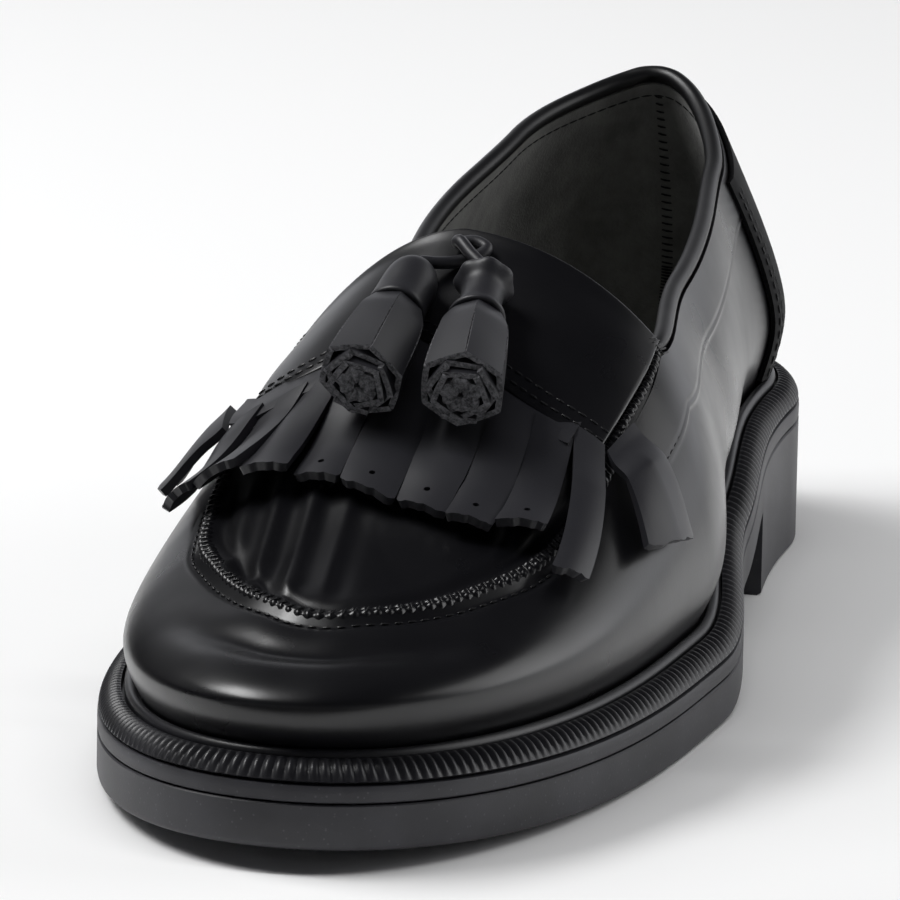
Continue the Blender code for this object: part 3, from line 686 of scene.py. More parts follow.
def add(tree, kind, inputs=None, **settings):
    """Adds a node with its settings; an input is a value or the socket that feeds it."""
    made = tree.nodes.new(kind)
    for name, value in settings.items():
        setattr(made, name, value)
    for name, value in (inputs or {}).items():
        if isinstance(value, bpy.types.NodeSocket):
            tree.links.new(value, made.inputs[name])
        else:
            made.inputs[name].default_value = value
    return made


def new_finish(name):
    material = bpy.data.materials.new(name)
    material.use_nodes = True
    tree = material.node_tree
    shader = tree.nodes["Principled BSDF"]
    place = add(tree, "ShaderNodeTexCoord").outputs["Object"]
    return material, tree, shader, place


def grain(size):
    """Texture scale for a pattern of a size in millimetres, on coordinates in metres."""
    return 1.0 / (size * MM)


def noise(tree, place, size, detail, roughness=0.5):
    """Noise with patches of a size in millimetres."""
    inputs = {"Vector": place, "Scale": grain(size), "Detail": detail, "Roughness": roughness}
    return add(tree, "ShaderNodeTexNoise", inputs).outputs["Fac"]


def bumped(tree, shader, height, distance, strength, before=None):
    inputs = {"Height": height, "Distance": distance * MM, "Strength": strength}
    if before is not None:
        inputs["Normal"] = before
    bump = add(tree, "ShaderNodeBump", inputs)
    tree.links.new(bump.outputs["Normal"], shader.inputs["Normal"])
    return bump.outputs["Normal"]


def two_tones(tree, value, low, dark, high, light):
    """Colours a value between two tones that it reaches at low and high."""
    ramp = add(tree, "ShaderNodeValToRGB", {"Fac": value})
    for end, position, tone in zip(ramp.color_ramp.elements, (low, high), (dark, light)):
        end.position = position
        end.color = tone
    return ramp.outputs["Color"]


def set_inputs(shader, **values):
    """Sets a shader's plain inputs, named with underscores for spaces."""
    for name, value in values.items():
        shader.inputs[name.replace("_", " ")].default_value = value


def polished_calf(name, base, low, high, coat, pore=0.45, pore_strength=0.10, shine=0.5):
    """Brushed, polished calf: near-black with fine closed pores that only roughen a highlight's edge."""
    material, tree, shader, place = new_finish(name)
    rough = add(tree, "ShaderNodeMapRange", {
        "Value": noise(tree, place, 22.0, 3.0), "From Min": 0.3, "From Max": 0.7,
        "To Min": low, "To Max": high})
    tree.links.new(rough.outputs["Result"], shader.inputs["Roughness"])
    set_inputs(shader, Base_Color=colour(base), IOR=1.5, Specular_IOR_Level=shine)
    set_inputs(shader, Coat_Weight=coat, Coat_Roughness=0.3)
    first = bumped(tree, shader, noise(tree, place, 9.0, 1.0), 0.25, 0.25)
    pores = add(tree, "ShaderNodeTexVoronoi", {"Vector": place, "Scale": grain(pore)})
    bumped(tree, shader, pores.outputs["Distance"], 0.05, pore_strength, first)
    return material


def suede_lining():
    """Grey suede, dark in the shoe's shade: matt, brushed nap in soft patches."""
    material, tree, shader, place = new_finish("suede_lining")
    nap = noise(tree, place, 6.0, 5.0, 0.65)
    tone = two_tones(tree, nap, 0.3, colour("#7a7a77"), 0.75, colour("#9c9c98"))
    tree.links.new(tone, shader.inputs["Base Color"])
    set_inputs(shader, Roughness=0.95, Specular_IOR_Level=0.2, Sheen_Weight=0.25, Sheen_Roughness=0.5)
    bumped(tree, shader, noise(tree, place, 0.5, 3.0), 0.3, 0.5)
    return material


def moulded_rubber(name, dark, light, low, speck):
    """Moulded rubber: even charcoal with a fine pale speckle of moulding dust."""
    material, tree, shader, place = new_finish(name)
    tone = two_tones(tree, noise(tree, place, 14.0, 4.0), 0.35, colour(dark), 0.7, colour(light))
    dots = add(tree, "ShaderNodeTexVoronoi", {"Vector": place, "Scale": grain(1.3)})
    dust = add(tree, "ShaderNodeMapRange", {
        "Value": dots.outputs["Distance"], "From Min": 0.10, "From Max": 0.18,
        "To Min": speck, "To Max": 0.0})
    mixed = add(tree, "ShaderNodeMix", {
        "Factor": dust.outputs["Result"], "A": tone, "B": colour("#6c6c70")}, data_type="RGBA")
    tree.links.new(mixed.outputs["Result"], shader.inputs["Base Color"])
    shader.inputs["Roughness"].default_value = low
    bumped(tree, shader, noise(tree, place, 0.4, 2.0), 0.05, 0.35)
    return material


def waxed_thread():
    """Waxed black thread: round, slightly shiny strands."""
    material, tree, shader, place = new_finish("waxed_thread")
    set_inputs(shader, Base_Color=colour("#141416"), Roughness=0.42)
    bumped(tree, shader, noise(tree, place, 0.25, 1.0), 0.1, 0.5)
    return material


def cut_edge():
    """Raw cut edge of dyed leather: grey, open fibres."""
    material, tree, shader, place = new_finish("raw_cut_edge")
    fibre = noise(tree, place, 0.7, 4.0, 0.7)
    tone = two_tones(tree, fibre, 0.35, colour("#2c2c2e"), 0.7, colour("#7c7c80"))
    tree.links.new(tone, shader.inputs["Base Color"])
    shader.inputs["Roughness"].default_value = 0.85
    bumped(tree, shader, fibre, 0.3, 0.8)
    return material


def studio_finish(name, code, roughness, shine):
    """Plain matt paper of the floor and the black cards, which needs no grain."""
    material, _, shader, _ = new_finish(name)
    set_inputs(shader, Base_Color=colour(code), Roughness=roughness, Specular_IOR_Level=shine)
    return material


# Stations round the sole at an even spacing

def even_stations(count, inset=0.0):
    dense = np.linspace(0.0, 1.0, 4001)
    run = run_along(inset_outline(dense, inset))
    at = np.arange(count) / count * run[-1]
    return np.interp(at, run, dense), run[-1]


def edge_ring(stations, insets, rises, seat):
    """Points round the shoe: an inset from the sole's edge and a rise above a seat, per section point."""
    rings = []
    for inset, rise in zip(insets, rises):
        edge = inset_outline(stations, inset)
        rings.append(np.column_stack([edge, seat(edge[:, 1]) + rise]))
    return np.stack(rings, axis=1)


# Sole

SOLE_AROUND = 360


def sole_slab(name, insets, rises, seat):
    """A slab with the sole's outline: a closed side and two flat caps."""
    stations, _ = even_stations(SOLE_AROUND)
    rings = edge_ring(stations, insets, rises, seat)
    count = SOLE_AROUND
    parts = [shaped_grid(name, np.concatenate([rings, rings[:1]], axis=0))]
    for end in (0, -1):
        ring = rings[:, end]
        rows = []
        for k in range(count // 2 + 1):
            line = between(ring[k], ring[(count - k) % count], 9)
            middle = seat(line[:, 1]) + rises[end]
            line[1:-1, 2] = middle[1:-1]
            rows.append(line)
        parts.append(shaped_grid(name + "_cap", np.array(rows)))
    return weld(joined(name, parts))


def make_outsole(rubber):
    """Moulded rubber unit: rounded tread edge, flat side and the heel block drawn down from it."""
    round_edge = EDGE_ROUNDING
    insets = [round_edge, 0.45 * round_edge, 0.12 * round_edge, 0.0, 0.0, 0.0, 0.25]
    rises = [0.0, 0.1 * round_edge, 0.45 * round_edge, round_edge,
             0.5 * FOREFOOT_THICKNESS, FOREFOOT_THICKNESS - TOP_LAYER - 0.25, FOREFOOT_THICKNESS - TOP_LAYER]
    slab = sole_slab("outsole_unit", insets, rises, sole_rise)
    stations, _ = even_stations(SOLE_AROUND)
    back = SOLE_LENGTH / 2.0 - BREAST_FROM_BACK
    behind = stations[sole_outline(stations)[:, 1] > back]
    behind = np.sort(np.where(behind > 0.5, behind - 1.0, behind))
    breast = math.acos(1.0 - 2.0 * BREAST_FROM_BACK / SOLE_LENGTH) / (2.0 * math.pi)
    behind = np.concatenate([[-breast], behind, [breast]]) % 1.0
    rings = []
    for inset, height in ((0.0, None), (0.0, 1.2), (0.0, 0.5), (0.15, 0.4), (0.8, 0.0)):
        edge = inset_outline(behind, inset)
        if height is None:
            height = sole_rise(edge[:, 1]) + EDGE_ROUNDING + 0.6
        rings.append(np.column_stack([edge, np.broadcast_to(height, len(edge))]))
    heel = shaped_grid("heel_block", np.array(rings).transpose(1, 0, 2))
    caps = []
    for ring in (rings[0], rings[-1]):
        count = len(ring)
        rows = [between(ring[k], ring[count - 1 - k], 7) for k in range(count // 2 + 1)]
        caps.append(shaped_grid("heel_cap", np.array(rows)))
    left = np.array([ring[0] for ring in rings])
    right = np.array([ring[-1] for ring in rings])
    caps.append(shaped_grid("heel_breast", between(left, right, 7)))
    heel = weld(joined("heel_block", [heel] + caps))
    unit = modify(slab, "BOOLEAN", object=heel, operation="UNION", solver="EXACT")
    bpy.data.objects.remove(heel)
    return finish_piece(unit, ["outsole"], [rubber], 35.0)


def make_midsole(rubber):
    top = FOREFOOT_THICKNESS
    low = top - TOP_LAYER + CLEARANCE
    insets = [0.3, 0.02, 0.0, 0.02, 0.15, 0.5]
    rises = [low, low + 0.25, (low + top) / 2.0, top - 0.5, top - 0.15, top]
    slab = sole_slab("midsole_band", insets, rises, sole_rise)
    return finish_piece(slab, ["midsole"], [rubber], 35.0)


RIB_PITCH = 2.0
RIB_DEPTH = 0.55
RIB_SAMPLES = 6


def make_welt(rubber):
    """Rolled welt, notched crosswise all the way round."""
    _, length = even_stations(10)
    ribs = int(round(length / RIB_PITCH))
    count = ribs * RIB_SAMPLES
    stations, _ = even_stations(count)
    wave = np.cos(2.0 * np.pi * np.arange(count) / RIB_SAMPLES)
    notch = RIB_DEPTH * (0.5 - 0.5 * wave) ** 1.6
    flange = FEATHER_INSET + WALL + 1.5
    section = [
        (0.6, 0.0, 0.0), (0.15, 0.35, 0.0), (0.25, 0.9, 0.55), (0.55, 1.6, 0.9), (1.0, 2.25, 1.0),
        (1.55, 2.8, 1.0), (2.2, 3.25, 1.0), (2.9, 3.55, 0.9), (3.5, 3.7, 0.5), (WELT_WIDTH, 3.55, 0.0),
        (WELT_WIDTH + WELT_STEP, WELT_FLANGE, 0.0), (flange, WELT_FLANGE, 0.0), (flange, 0.0, 0.0),
    ]
    insets = []
    rises = []
    for inset, rise, share in section:
        tilt = math.atan2(rise, WELT_WIDTH + 1.0 - inset)
        insets.append(inset + notch * share * math.cos(tilt))
        rises.append(rise - notch * share * math.sin(tilt))
    welt = shaped_ring("ribbed_welt", edge_ring(stations, insets, rises, welt_seat))
    return finish_piece(welt, ["welt"], [rubber], 50.0)


def make_bead(rubber):
    """Smooth bead between welt and upper."""
    stations, _ = even_stations(420)
    middle = WELT_WIDTH + WELT_STEP + CLEARANCE + BEAD_RADIUS
    height = WELT_FLANGE + CLEARANCE + 1.15 * BEAD_RADIUS
    turns = np.arange(14) / 14.0 * 2.0 * np.pi
    insets = middle + BEAD_RADIUS * np.cos(turns)
    rises = height + 1.25 * BEAD_RADIUS * np.sin(turns)
    bead = shaped_ring("welt_bead_roll", edge_ring(stations, insets, rises, welt_seat))
    return finish_piece(bead, ["welt_bead"], [rubber], 60.0)


def make_insole(sock):
    inset = FEATHER_INSET + WALL + INSOLE_INSET
    insets = [inset, inset - 0.2, inset, inset + 0.5]
    rises = [0.0, 0.8, INSOLE_THICKNESS - 0.4, INSOLE_THICKNESS]
    slab = sole_slab("sock_lining", insets, rises, feather_height)
    return finish_piece(slab, ["insole"], [sock], 35.0)


# Upper

WALL_STATIONS = 320
LOW_EVEN = 40
LOW_FINE = 34
HIGH_FINE = 14
HIGH_EVEN = 26
FINE_BELOW = 15.0
FINE_ABOVE = 8.0
BAND_WIDTH = 10.0
BAND_RAISE = 0.45
LEATHER = 1.2
LIPS_HALF_WIDTH = 1.45
GATHER_PITCH = 1.9
OUTER_ROW_BELOW = 3.2
SIDE_SEAM_RADIUS = 0.72
SIDE_SEAM_PITCH = 1.8
TOE_SOFTENING = 1.5
TOE_TURN_BELOW = 13.5
TOE_TURN_SPREAD = 4.8

# Folds of the plug, worn in by walking: place across and height in mm
PLUG_FOLDS = ((-20.6, 0.45), (-15.2, 0.75), (-9.0, 0.60), (-2.7, 0.35))


def upper_lines(stations):
    """For each station: way of the rim or seam, and millimetres per unit of way there."""
    tops = np.array([top_way(s % 1.0) for s in stations])
    a = bare_surface(stations % 1.0, tops)
    b = bare_surface(stations % 1.0, tops - 0.05)
    return tops, np.linalg.norm(a - b, axis=-1) / 0.05


def side_of(stations):
    s = stations % 1.0
    return np.minimum(s, 1.0 - s)


def seam_strength(side):
    return ease((side - SEAM_START) / 0.03)


def hump(distance, spread):
    """Soft hump of height 1, which falls off over the spread."""
    return np.exp(-((distance / spread) ** 2))


def toe_rounding(side, below):
    """Height in mm that softens the turn from the toe's roof to its front."""
    return -TOE_SOFTENING * ease((side - 0.38) / 0.09) * hump(below - TOE_TURN_BELOW, TOE_TURN_SPREAD)


def wall_relief(side, below):
    """Height in mm of the wall's detail: below is the distance under the rim or the plug's seam."""
    fade = 1.0 - ease((side - 0.262) / 0.03)
    band = BAND_RAISE * (1.0 - ease((below - BAND_WIDTH + 0.4) / 0.8)) * fade
    groove = -0.25 * hump(below - BAND_WIDTH + 0.9, 0.4) * fade
    seam = seam_strength(side)
    ridge = SEAM_HEIGHT * 0.8 * seam * hump(below, 1.5)
    dip = -0.4 * seam * hump(below - 3.2, 0.9)
    return band + groove + ridge + dip + toe_rounding(side, below)


def plug_relief(side, above, x, y):
    """Height in mm of the plug's detail: its edge, and soft folds from the fringe to the seam."""
    seam = seam_strength(side)
    ridge = SEAM_HEIGHT * 0.8 * seam * hump(above, 1.5)
    dip = -0.7 * seam * hump(above - 3.4, 1.5)
    along = ease((y + 101.0) / 9.0) * ease((-50.0 - y) / 14.0)
    folds = 0.0
    for place, high in PLUG_FOLDS:
        across = x + 0.14 * (y + 80.0) - place
        folds = folds + high * (hump(across, 1.3) - 0.55 * hump(across - 2.9, 1.6))
    return ridge + dip + folds * along


def wall_rows(steps, relief, lift):
    """Rows up the walls, from the feather to the rim or the plug's seam and finer near the top."""
    tops, scale = upper_lines(steps)
    rows = []
    for k in range(LOW_EVEN + LOW_FINE + 1):
        fine_way = np.minimum(FINE_BELOW / scale, 0.6 * tops)
        if k <= LOW_EVEN:
            way = (tops - fine_way) * k / LOW_EVEN
        else:
            way = tops - fine_way * (1.0 - (k - LOW_EVEN) / LOW_FINE)
        below = (tops - way) * scale
        height = lift + (wall_relief if relief else toe_rounding)(side_of(steps), below)
        rows.append(upper_surface(steps % 1.0, way, height))
    rows = np.array(rows)
    rows[0, :, 2] = feather_height(rows[0, :, 1])
    return rows


def vamp_rows(front, relief, lift):
    """Rows over the plug and the instep, each from the medial seam to the lateral one."""
    front_tops, front_scale = upper_lines(front)
    back_tops, back_scale = upper_lines(1.0 - front)
    lines = []
    for i, station in enumerate(front):
        line = []
        sides = ((back_tops[i], back_scale[i], True), (front_tops[i], front_scale[i], False))
        for top, per, mirror in sides:
            fine_way = min(FINE_ABOVE / per, 0.4 * (1.0 - top))
            ways = np.concatenate([
                top + fine_way * np.arange(HIGH_FINE) / HIGH_FINE,
                top + fine_way + (1.0 - top - fine_way) * np.linspace(0.0, 1.0, HIGH_EVEN + 1),
            ])
            shifted = over_crest(station, 1.0 - ways)
            blend = ease((ways - top) / 0.05)
            place = station + (shifted - station) * blend
            place = 1.0 - place if mirror else place
            bare = bare_surface(place, ways)
            above = (ways - top) * per
            height = lift + (plug_relief(station, above, bare[:, 0], bare[:, 1]) if relief else 0.0)
            points = upper_surface(place, ways, height)
            line.append(points if mirror else points[::-1])
        line[1][0] = line[0][-1]
        lines.append(np.concatenate([line[0], line[1][1:]]))
    return np.array(lines)


def upper_sheet(name, relief, lift, stations_count=WALL_STATIONS):
    """The upper's whole surface: walls all round, and the plug and instep between the seams."""
    steps = np.linspace(-0.5, 0.5, stations_count + 1)
    for corner in (-THROAT, THROAT):
        steps[int(np.argmin(np.abs(steps - corner)))] = corner
    wall = shaped_grid(name, wall_rows(steps, relief, lift))
    vamp = shaped_grid(name + "_vamp", vamp_rows(steps[steps >= THROAT - 1e-9], relief, lift))
    return weld(joined(name, [wall, vamp]), 0.02)


def make_upper(calf, suede):
    leather = upper_sheet("upper_leather", True, 0.0)
    outward(leather, (0.0, 0.0, 0.03))
    thicken(leather, LEATHER)
    finish_piece(leather, ["upper"], [calf], 60.0)
    lining = upper_sheet("suede_lining", False, -LEATHER - 0.08, 160)
    outward(lining, (0.0, 0.0, 0.03))
    thicken(lining, WALL - LEATHER - 0.1)
    finish_piece(lining, ["upper"], [suede], 60.0)


def make_binding(calf):
    """Rolled edge along the collar."""
    stations = np.linspace(-THROAT + BINDING_END, THROAT - BINDING_END, 181)
    path = []
    for station in stations:
        top = top_way(station)
        middle = upper_surface(station % 1.0, top, -WALL / 2.0)
        edge = upper_surface(station % 1.0, top, 0.0)
        below = upper_surface(station % 1.0, top - 0.03, 0.0)
        path.append(middle + unit(edge - below) * (BINDING_RADIUS + 0.05))
    share = np.linspace(0.0, 1.0, len(path))
    radii = BINDING_RADIUS * (1.0 - 0.5 * np.exp(-share / 0.008) - 0.5 * np.exp(-(1.0 - share) / 0.008))
    tube = shaped_tube("collar_binding_roll", path, radii, 14)
    return finish_piece(tube, ["collar_binding"], [calf], 60.0)


def make_heel_counter(calf, thread):
    """Counter piece round the heel, its front edges stitched down twice."""
    columns = 61
    rows = 40
    foot = feather_height(SOLE_LENGTH / 2.0) + 2.0 * BEAD_RADIUS + 3.0 * CLEARANCE
    across = np.linspace(-COUNTER_REACH, COUNTER_REACH, columns)
    lows = np.array([way_at_height(s % 1.0, foot) for s in across])
    tops = np.array([top_way(s) - 0.012 for s in across])
    edge = 0.5 * ease(np.abs(np.linspace(-1.0, 1.0, columns)) * 30.0 - 29.0)
    lift = COUNTER_LIFT + COUNTER_THICKNESS - edge
    grid = [upper_surface(across, ways, lift) for ways in between(lows, tops, rows)]
    piece = sheet("heel_counter_piece", grid, (0.0, 0.09, 0.03))
    thicken(piece, COUNTER_THICKNESS - 0.2)
    finish_piece(piece, ["heel_counter"], [calf], 50.0)
    for sign, name in ((-1.0, "medial"), (1.0, "lateral")):
        for row, inset in COUNTER_STITCHES:
            station = sign * (COUNTER_REACH - inset)
            low = way_at_height(station % 1.0, foot)
            ways = np.linspace(low + 0.01, top_way(station) - 0.03, 80)
            path, up = on_surface(station, ways, COUNTER_LIFT + COUNTER_THICKNESS + 0.02)
            stitches("counter", "counter_stitches_" + name + "_" + row, path, up, thread)


def make_apron_seam(calf, thread):
    """Hand-sewn seam round the plug: gathered lips, with the thread over them and a second row outside."""
    stations = np.linspace(SEAM_START - 0.012, 1.0 - SEAM_START + 0.012, 1200)
    tops, scale = upper_lines(stations)
    side = side_of(stations)
    strength = ease((side - SEAM_START + 0.012) / 0.02)
    base = bare_surface(stations, tops)
    run = run_along(base)
    gather = np.cos(2.0 * np.pi * run / GATHER_PITCH)
    uneven = np.sin(run * 0.83) + 0.6 * np.sin(run * 0.31 + 1.0)
    section = np.linspace(-1.0, 1.0, 11)
    rows = []
    for share in section:
        across = share * (LIPS_HALF_WIDTH + 0.14 * gather + 0.08 * uneven)
        arch = math.sqrt(max(0.0, 1.0 - share * share))
        plump = 1.0 + 0.20 * gather * (1.0 - 0.4 * abs(share)) + 0.06 * uneven
        height = strength * (SEAM_HEIGHT * 0.3 + arch * plump - 0.30 * math.exp(-((share / 0.22) ** 2)))
        rows.append(upper_surface(stations, tops + across / scale, height - 0.25))
    lips = sheet("apron_seam", rows, (0.0, -0.06, 0.0))
    thicken(lips, 0.5)
    finish_piece(lips, [], [calf], 70.0)
    normals = surface_normal(stations, tops)
    keep = slice(14, -14)
    over = upper_surface(stations, tops, SEAM_HEIGHT * 0.3 + 0.78)[keep]
    stitches("seam over", "apron_thread", over, normals[keep], thread)
    outer = upper_surface(stations, tops - OUTER_ROW_BELOW / scale, -0.22)[keep]
    stitches("seam outer", "apron_outer_stitches", outer, normals[keep], thread)


def make_topline_stitches(thread):
    """The row along the raised band under the collar."""
    rows = (("topline_stitches_lateral", 0.012, 0.285), ("topline_stitches_medial", -0.285, -0.012))
    for name, start, end in rows:
        stations = np.linspace(start, end, 260)
        tops, scale = upper_lines(stations)
        below = BAND_WIDTH - 0.9
        path, up = on_surface(stations, tops - below / scale, 0.02)
        stitches("topline", name, path, up, thread)


def make_lining_stitches(thread):
    """Column of short crosswise stitches down the back of the lining and a row under the topline."""
    top = top_way(0.0)
    heights = np.linspace(top - 0.02, 0.10, 44)
    for phase in (0, 1):
        share = heights[phase::2]
        left = upper_surface(1.0 - 0.0034, share + 0.001, -WALL - 0.12)
        right = upper_surface(0.0034, share - 0.001, -WALL - 0.12)
        if phase:
            left, right = right, left
        rows = []
        for a, b in zip(left, right):
            middle = (a + b) / 2.0 + np.array([0.0, -0.25, 0.0])
            rows.append(shaped_tube("zigzag", [a, middle, b], [0.14, 0.2, 0.14], 6))
        made = joined("lining_zigzag_%d" % phase, rows)
        finish_piece(made, [], [thread])
    stations = np.linspace(-0.235, 0.235, 300)
    tops, scale = upper_lines(stations)
    path, up = on_surface(stations, tops - 2.6 / scale, -WALL - 0.02)
    stitches("lining", "lining_topline_stitches", path, -up, thread)


# Saddle and fringe

def make_saddle(calf, thread):
    across = np.linspace(-SADDLE_REACH, SADDLE_REACH, 81)
    front = read_table(SADDLE_FRONT, "across", "station", across)
    rows = []
    for share in np.linspace(0.0, 1.0, 41):
        station = THROAT + 0.001 + (front - THROAT - 0.001) * share
        rolled = 0.35 * math.exp(-((share / 0.06) ** 2)) - 0.25 * math.exp(-(((1.0 - share) / 0.04) ** 2))
        rows.append(vamp_point(station, across, SADDLE_LIFT + SADDLE_THICKNESS + rolled))
    strap = sheet("saddle_strap", rows, (0.0, 0.0, 0.03))
    thicken(strap, SADDLE_THICKNESS, 0)
    modify(strap, "BEVEL", width=0.35 * MM, segments=3, limit_method="ANGLE", angle_limit=math.radians(50.0))
    finish_piece(strap, ["saddle"], [calf], 60.0)
    for inset, name in ((0.94, "saddle_stitches_low"), (0.86, "saddle_stitches_high")):
        station = THROAT + 0.001 + (front - THROAT - 0.001) * inset
        path = vamp_point(station, across, SADDLE_LIFT + SADDLE_THICKNESS + 0.06)
        up = path - vamp_point(station, across, SADDLE_LIFT)
        stitches("saddle", name, path, up, thread)


def make_side_seams(calf, thread):
    """Gathered hand seams that close the saddle's sides at the throat's corners."""
    for name, sign in (("lateral", 1.0), ("medial", -1.0)):
        station = np.linspace(THROAT - 0.001, 0.308, 200)
        across = sign * (SADDLE_REACH + 0.010)
        path = vamp_point(station, across, 0.9)
        up = path - vamp_point(station, across, -0.1)
        run = run_along(path)
        share = run / run[-1]
        ends = 0.25 + 0.75 * ease(share / 0.08) * ease((1.0 - share) / 0.2)
        gather = 0.20 * np.cos(2.0 * np.pi * run / SIDE_SEAM_PITCH) + 0.06 * np.sin(run * 1.3)
        radii = (SIDE_SEAM_RADIUS + gather) * ends
        tube = shaped_tube("side_seam_" + name, path, radii, 10)
        finish_piece(tube, [], [calf], 70.0)
        stitches("side seam", "side_seam_thread_" + name, path + up * 0.62, up, thread)
        spots = (THROAT + 0.002, sign * np.linspace(0.300, 0.335, 5))
        corner = vamp_point(*spots, 2.75)
        stitches("bartack", "corner_bartack_" + name, corner, corner - vamp_point(*spots, 1.75), thread)


STRIP_ROWS = 44
STRIP_COLUMNS = 17

# Outer strips tuck under the saddle: from which strip on, how far back and how much lower in mm
TUCKED_FROM = 9
TUCK_BACK = 0.08
TUCK_DOWN = 1.3
PUNCHED_STRIPS = range(4, 9)

# Twist of each strip, in mm of height from its middle to its lateral edge
STRIP_TURNS = [0.3, 0.9, 0.8, -0.5, 0.5, -0.35, 0.3, -0.3, 0.45, -0.4, -0.6]


def strip_edges(number, share):
    """Both edges of a strip, widened at its root until the cuts between the strips close."""
    strip = STRIPS[number]
    edges = []
    for start, stop, other in (("root", "end", number - 1), ("root to", "end to", number + 1)):
        root = np.array(strip[start])
        end = np.array(strip[stop])
        if 0 < other < len(STRIPS) - 1 and 0 < number < len(STRIPS) - 1:
            far_start, far_stop = ("root to", "end to") if other < number else ("root", "end")
            near = abs(np.array(STRIPS[other][far_stop]) - end)[1] < 0.03
            root = root + 0.49 * (np.array(STRIPS[other][far_start]) - root)
            end = end + 0.44 * (np.array(STRIPS[other][far_stop]) - end) * near
        edges.append(root + (end - root) * share)
    return edges


def strip_grid(strip, number):
    """One strip of the fringe: bowed across, curling up and twisting a little at its end."""
    over = []
    last = 1.0 + 0.012 * math.sin(number * 2.9)
    tucked = number >= TUCKED_FROM
    first = -TUCK_BACK if tucked else 0.0
    for share in np.linspace(first, last, STRIP_ROWS):
        left, right = strip_edges(number, share)
        lift = strip["lift"] + (strip["tip"] - strip["lift"]) * share * share + STRIP_THICKNESS
        lift = lift + 0.35 * math.sin(number * 1.9 + 5.0 * share) * ease(share / 0.3)
        if tucked:
            lift = lift - TUCK_DOWN * (1.0 - ease(share / 0.3))
        a = vamp_point(*left, lift)
        b = vamp_point(*right, lift)
        middle = (left + right) / 2.0
        out = unit(vamp_point(*middle, lift + 1.0) - vamp_point(*middle, lift))
        c = np.linspace(0.0, 1.0, STRIP_COLUMNS)[:, None]
        bow = STRIP_BOW * (1.0 - (2.0 * c - 1.0) ** 2) * (0.35 + 0.65 * share)
        turn = STRIP_TURNS[number] * (2.0 * c - 1.0) * ease(share / 0.9)
        if number == len(STRIPS) - 1:
            bow = bow + 0.9 * (1.0 - np.abs(2.0 * c - 1.0)) ** 0.8 * ease(share / 0.3)
        over.append(a * (1.0 - c) + b * c + out * (bow + turn))
    grid = np.array(over)
    corner = np.linspace(-1.0, 1.0, STRIP_COLUMNS)
    pull = np.clip(np.abs(corner) - 0.8, 0.0, 1.0) ** 2 * 16.0
    pull = pull + 0.18 * np.sin(corner * 9.0 + number) + 0.12 * np.sin(corner * 17.0 + 2.0 * number)
    direction = unit(grid[-1] - grid[-4])
    for back in range(6):
        grid[-1 - back] -= direction * (pull * (1.0 - back / 6.0))[:, None]
    return grid


def punch(piece, row, column):
    """Opens a small round hole at one place of a strip's grid."""
    mesh = piece.data
    index = row * STRIP_COLUMNS + column
    centre = mesh.vertices[index].co.copy()
    ring = []
    for dr, dc in ((-1, -1), (-1, 0), (-1, 1), (0, 1), (1, 1), (1, 0), (1, -1), (0, -1)):
        ring.append((row + dr) * STRIP_COLUMNS + column + dc)
    for k in ring:
        offset = mesh.vertices[k].co - centre
        mesh.vertices[k].co = centre + offset.normalized() * 0.62 * MM
    choose(piece)
    bpy.ops.object.mode_set(mode="EDIT")
    bpy.ops.mesh.select_mode(type="VERT")
    bpy.ops.mesh.select_all(action="DESELECT")
    bpy.ops.object.mode_set(mode="OBJECT")
    mesh.vertices[index].select = True
    bpy.ops.object.mode_set(mode="EDIT")
    bpy.ops.mesh.delete(type="VERT")
    bpy.ops.object.mode_set(mode="OBJECT")


def make_fringe(calf, raw):
    """The strips, and the uncut band under the saddle's edge that holds them."""
    strips = []
    for k, strip in enumerate(STRIPS):
        piece = sheet("fringe_strip", strip_grid(strip, k), (0.0, -0.05, 0.0))
        if k in PUNCHED_STRIPS:
            punch(piece, STRIP_ROWS - 7, STRIP_COLUMNS // 2)
        wear(piece, calf, raw)
        thicken(piece, STRIP_THICKNESS, 1)
        strips.append(piece)
    across = np.linspace(STRIPS[1]["root"][1], STRIPS[-3]["root to"][1], 101)
    starts = [(s["root"][1] + s["root to"][1]) / 2.0 for s in STRIPS]
    station = np.interp(across, starts, [(s["root"][0] + s["root to"][0]) / 2.0 for s in STRIPS])
    lift = np.interp(across, starts, [s["lift"] for s in STRIPS])
    band = []
    for ahead in np.linspace(-0.010, 0.004, 9):
        low = np.clip(-ahead * 110.0, 0.0, 1.0)
        band.append(vamp_point(station + ahead, across, lift + STRIP_THICKNESS - 0.05 - low))
    root = sheet("fringe_root", band, (0.0, -0.05, 0.0))
    wear(root, calf, raw)
    thicken(root, STRIP_THICKNESS - 0.3, 0)
    fringe = joined("fringe_strips", strips + [root])
    return finish_piece(fringe, ["kiltie_fringe"], [calf, raw], 50.0)


# Tassels

# Layers of a tassel's skirt: distance in from its outside in mm, strips, start and end by share, turn
SKIRT_LAYERS = [
    (0.0, 6, 0.30, 0.925, 0.0),
    (1.25, 6, 0.40, 0.955, 0.5),
    (2.5, 5, 0.45, 0.985, 0.2),
]

SKIRT_THICKNESS = 1.05

# Core that shows at a tassel's cut end: share of its length, radius in mm
CORE = ((0.4, 2.6), (0.6, 3.2), (0.9, 3.5), (0.985, 3.4), (0.995, 2.2), (0.985, 0.6))

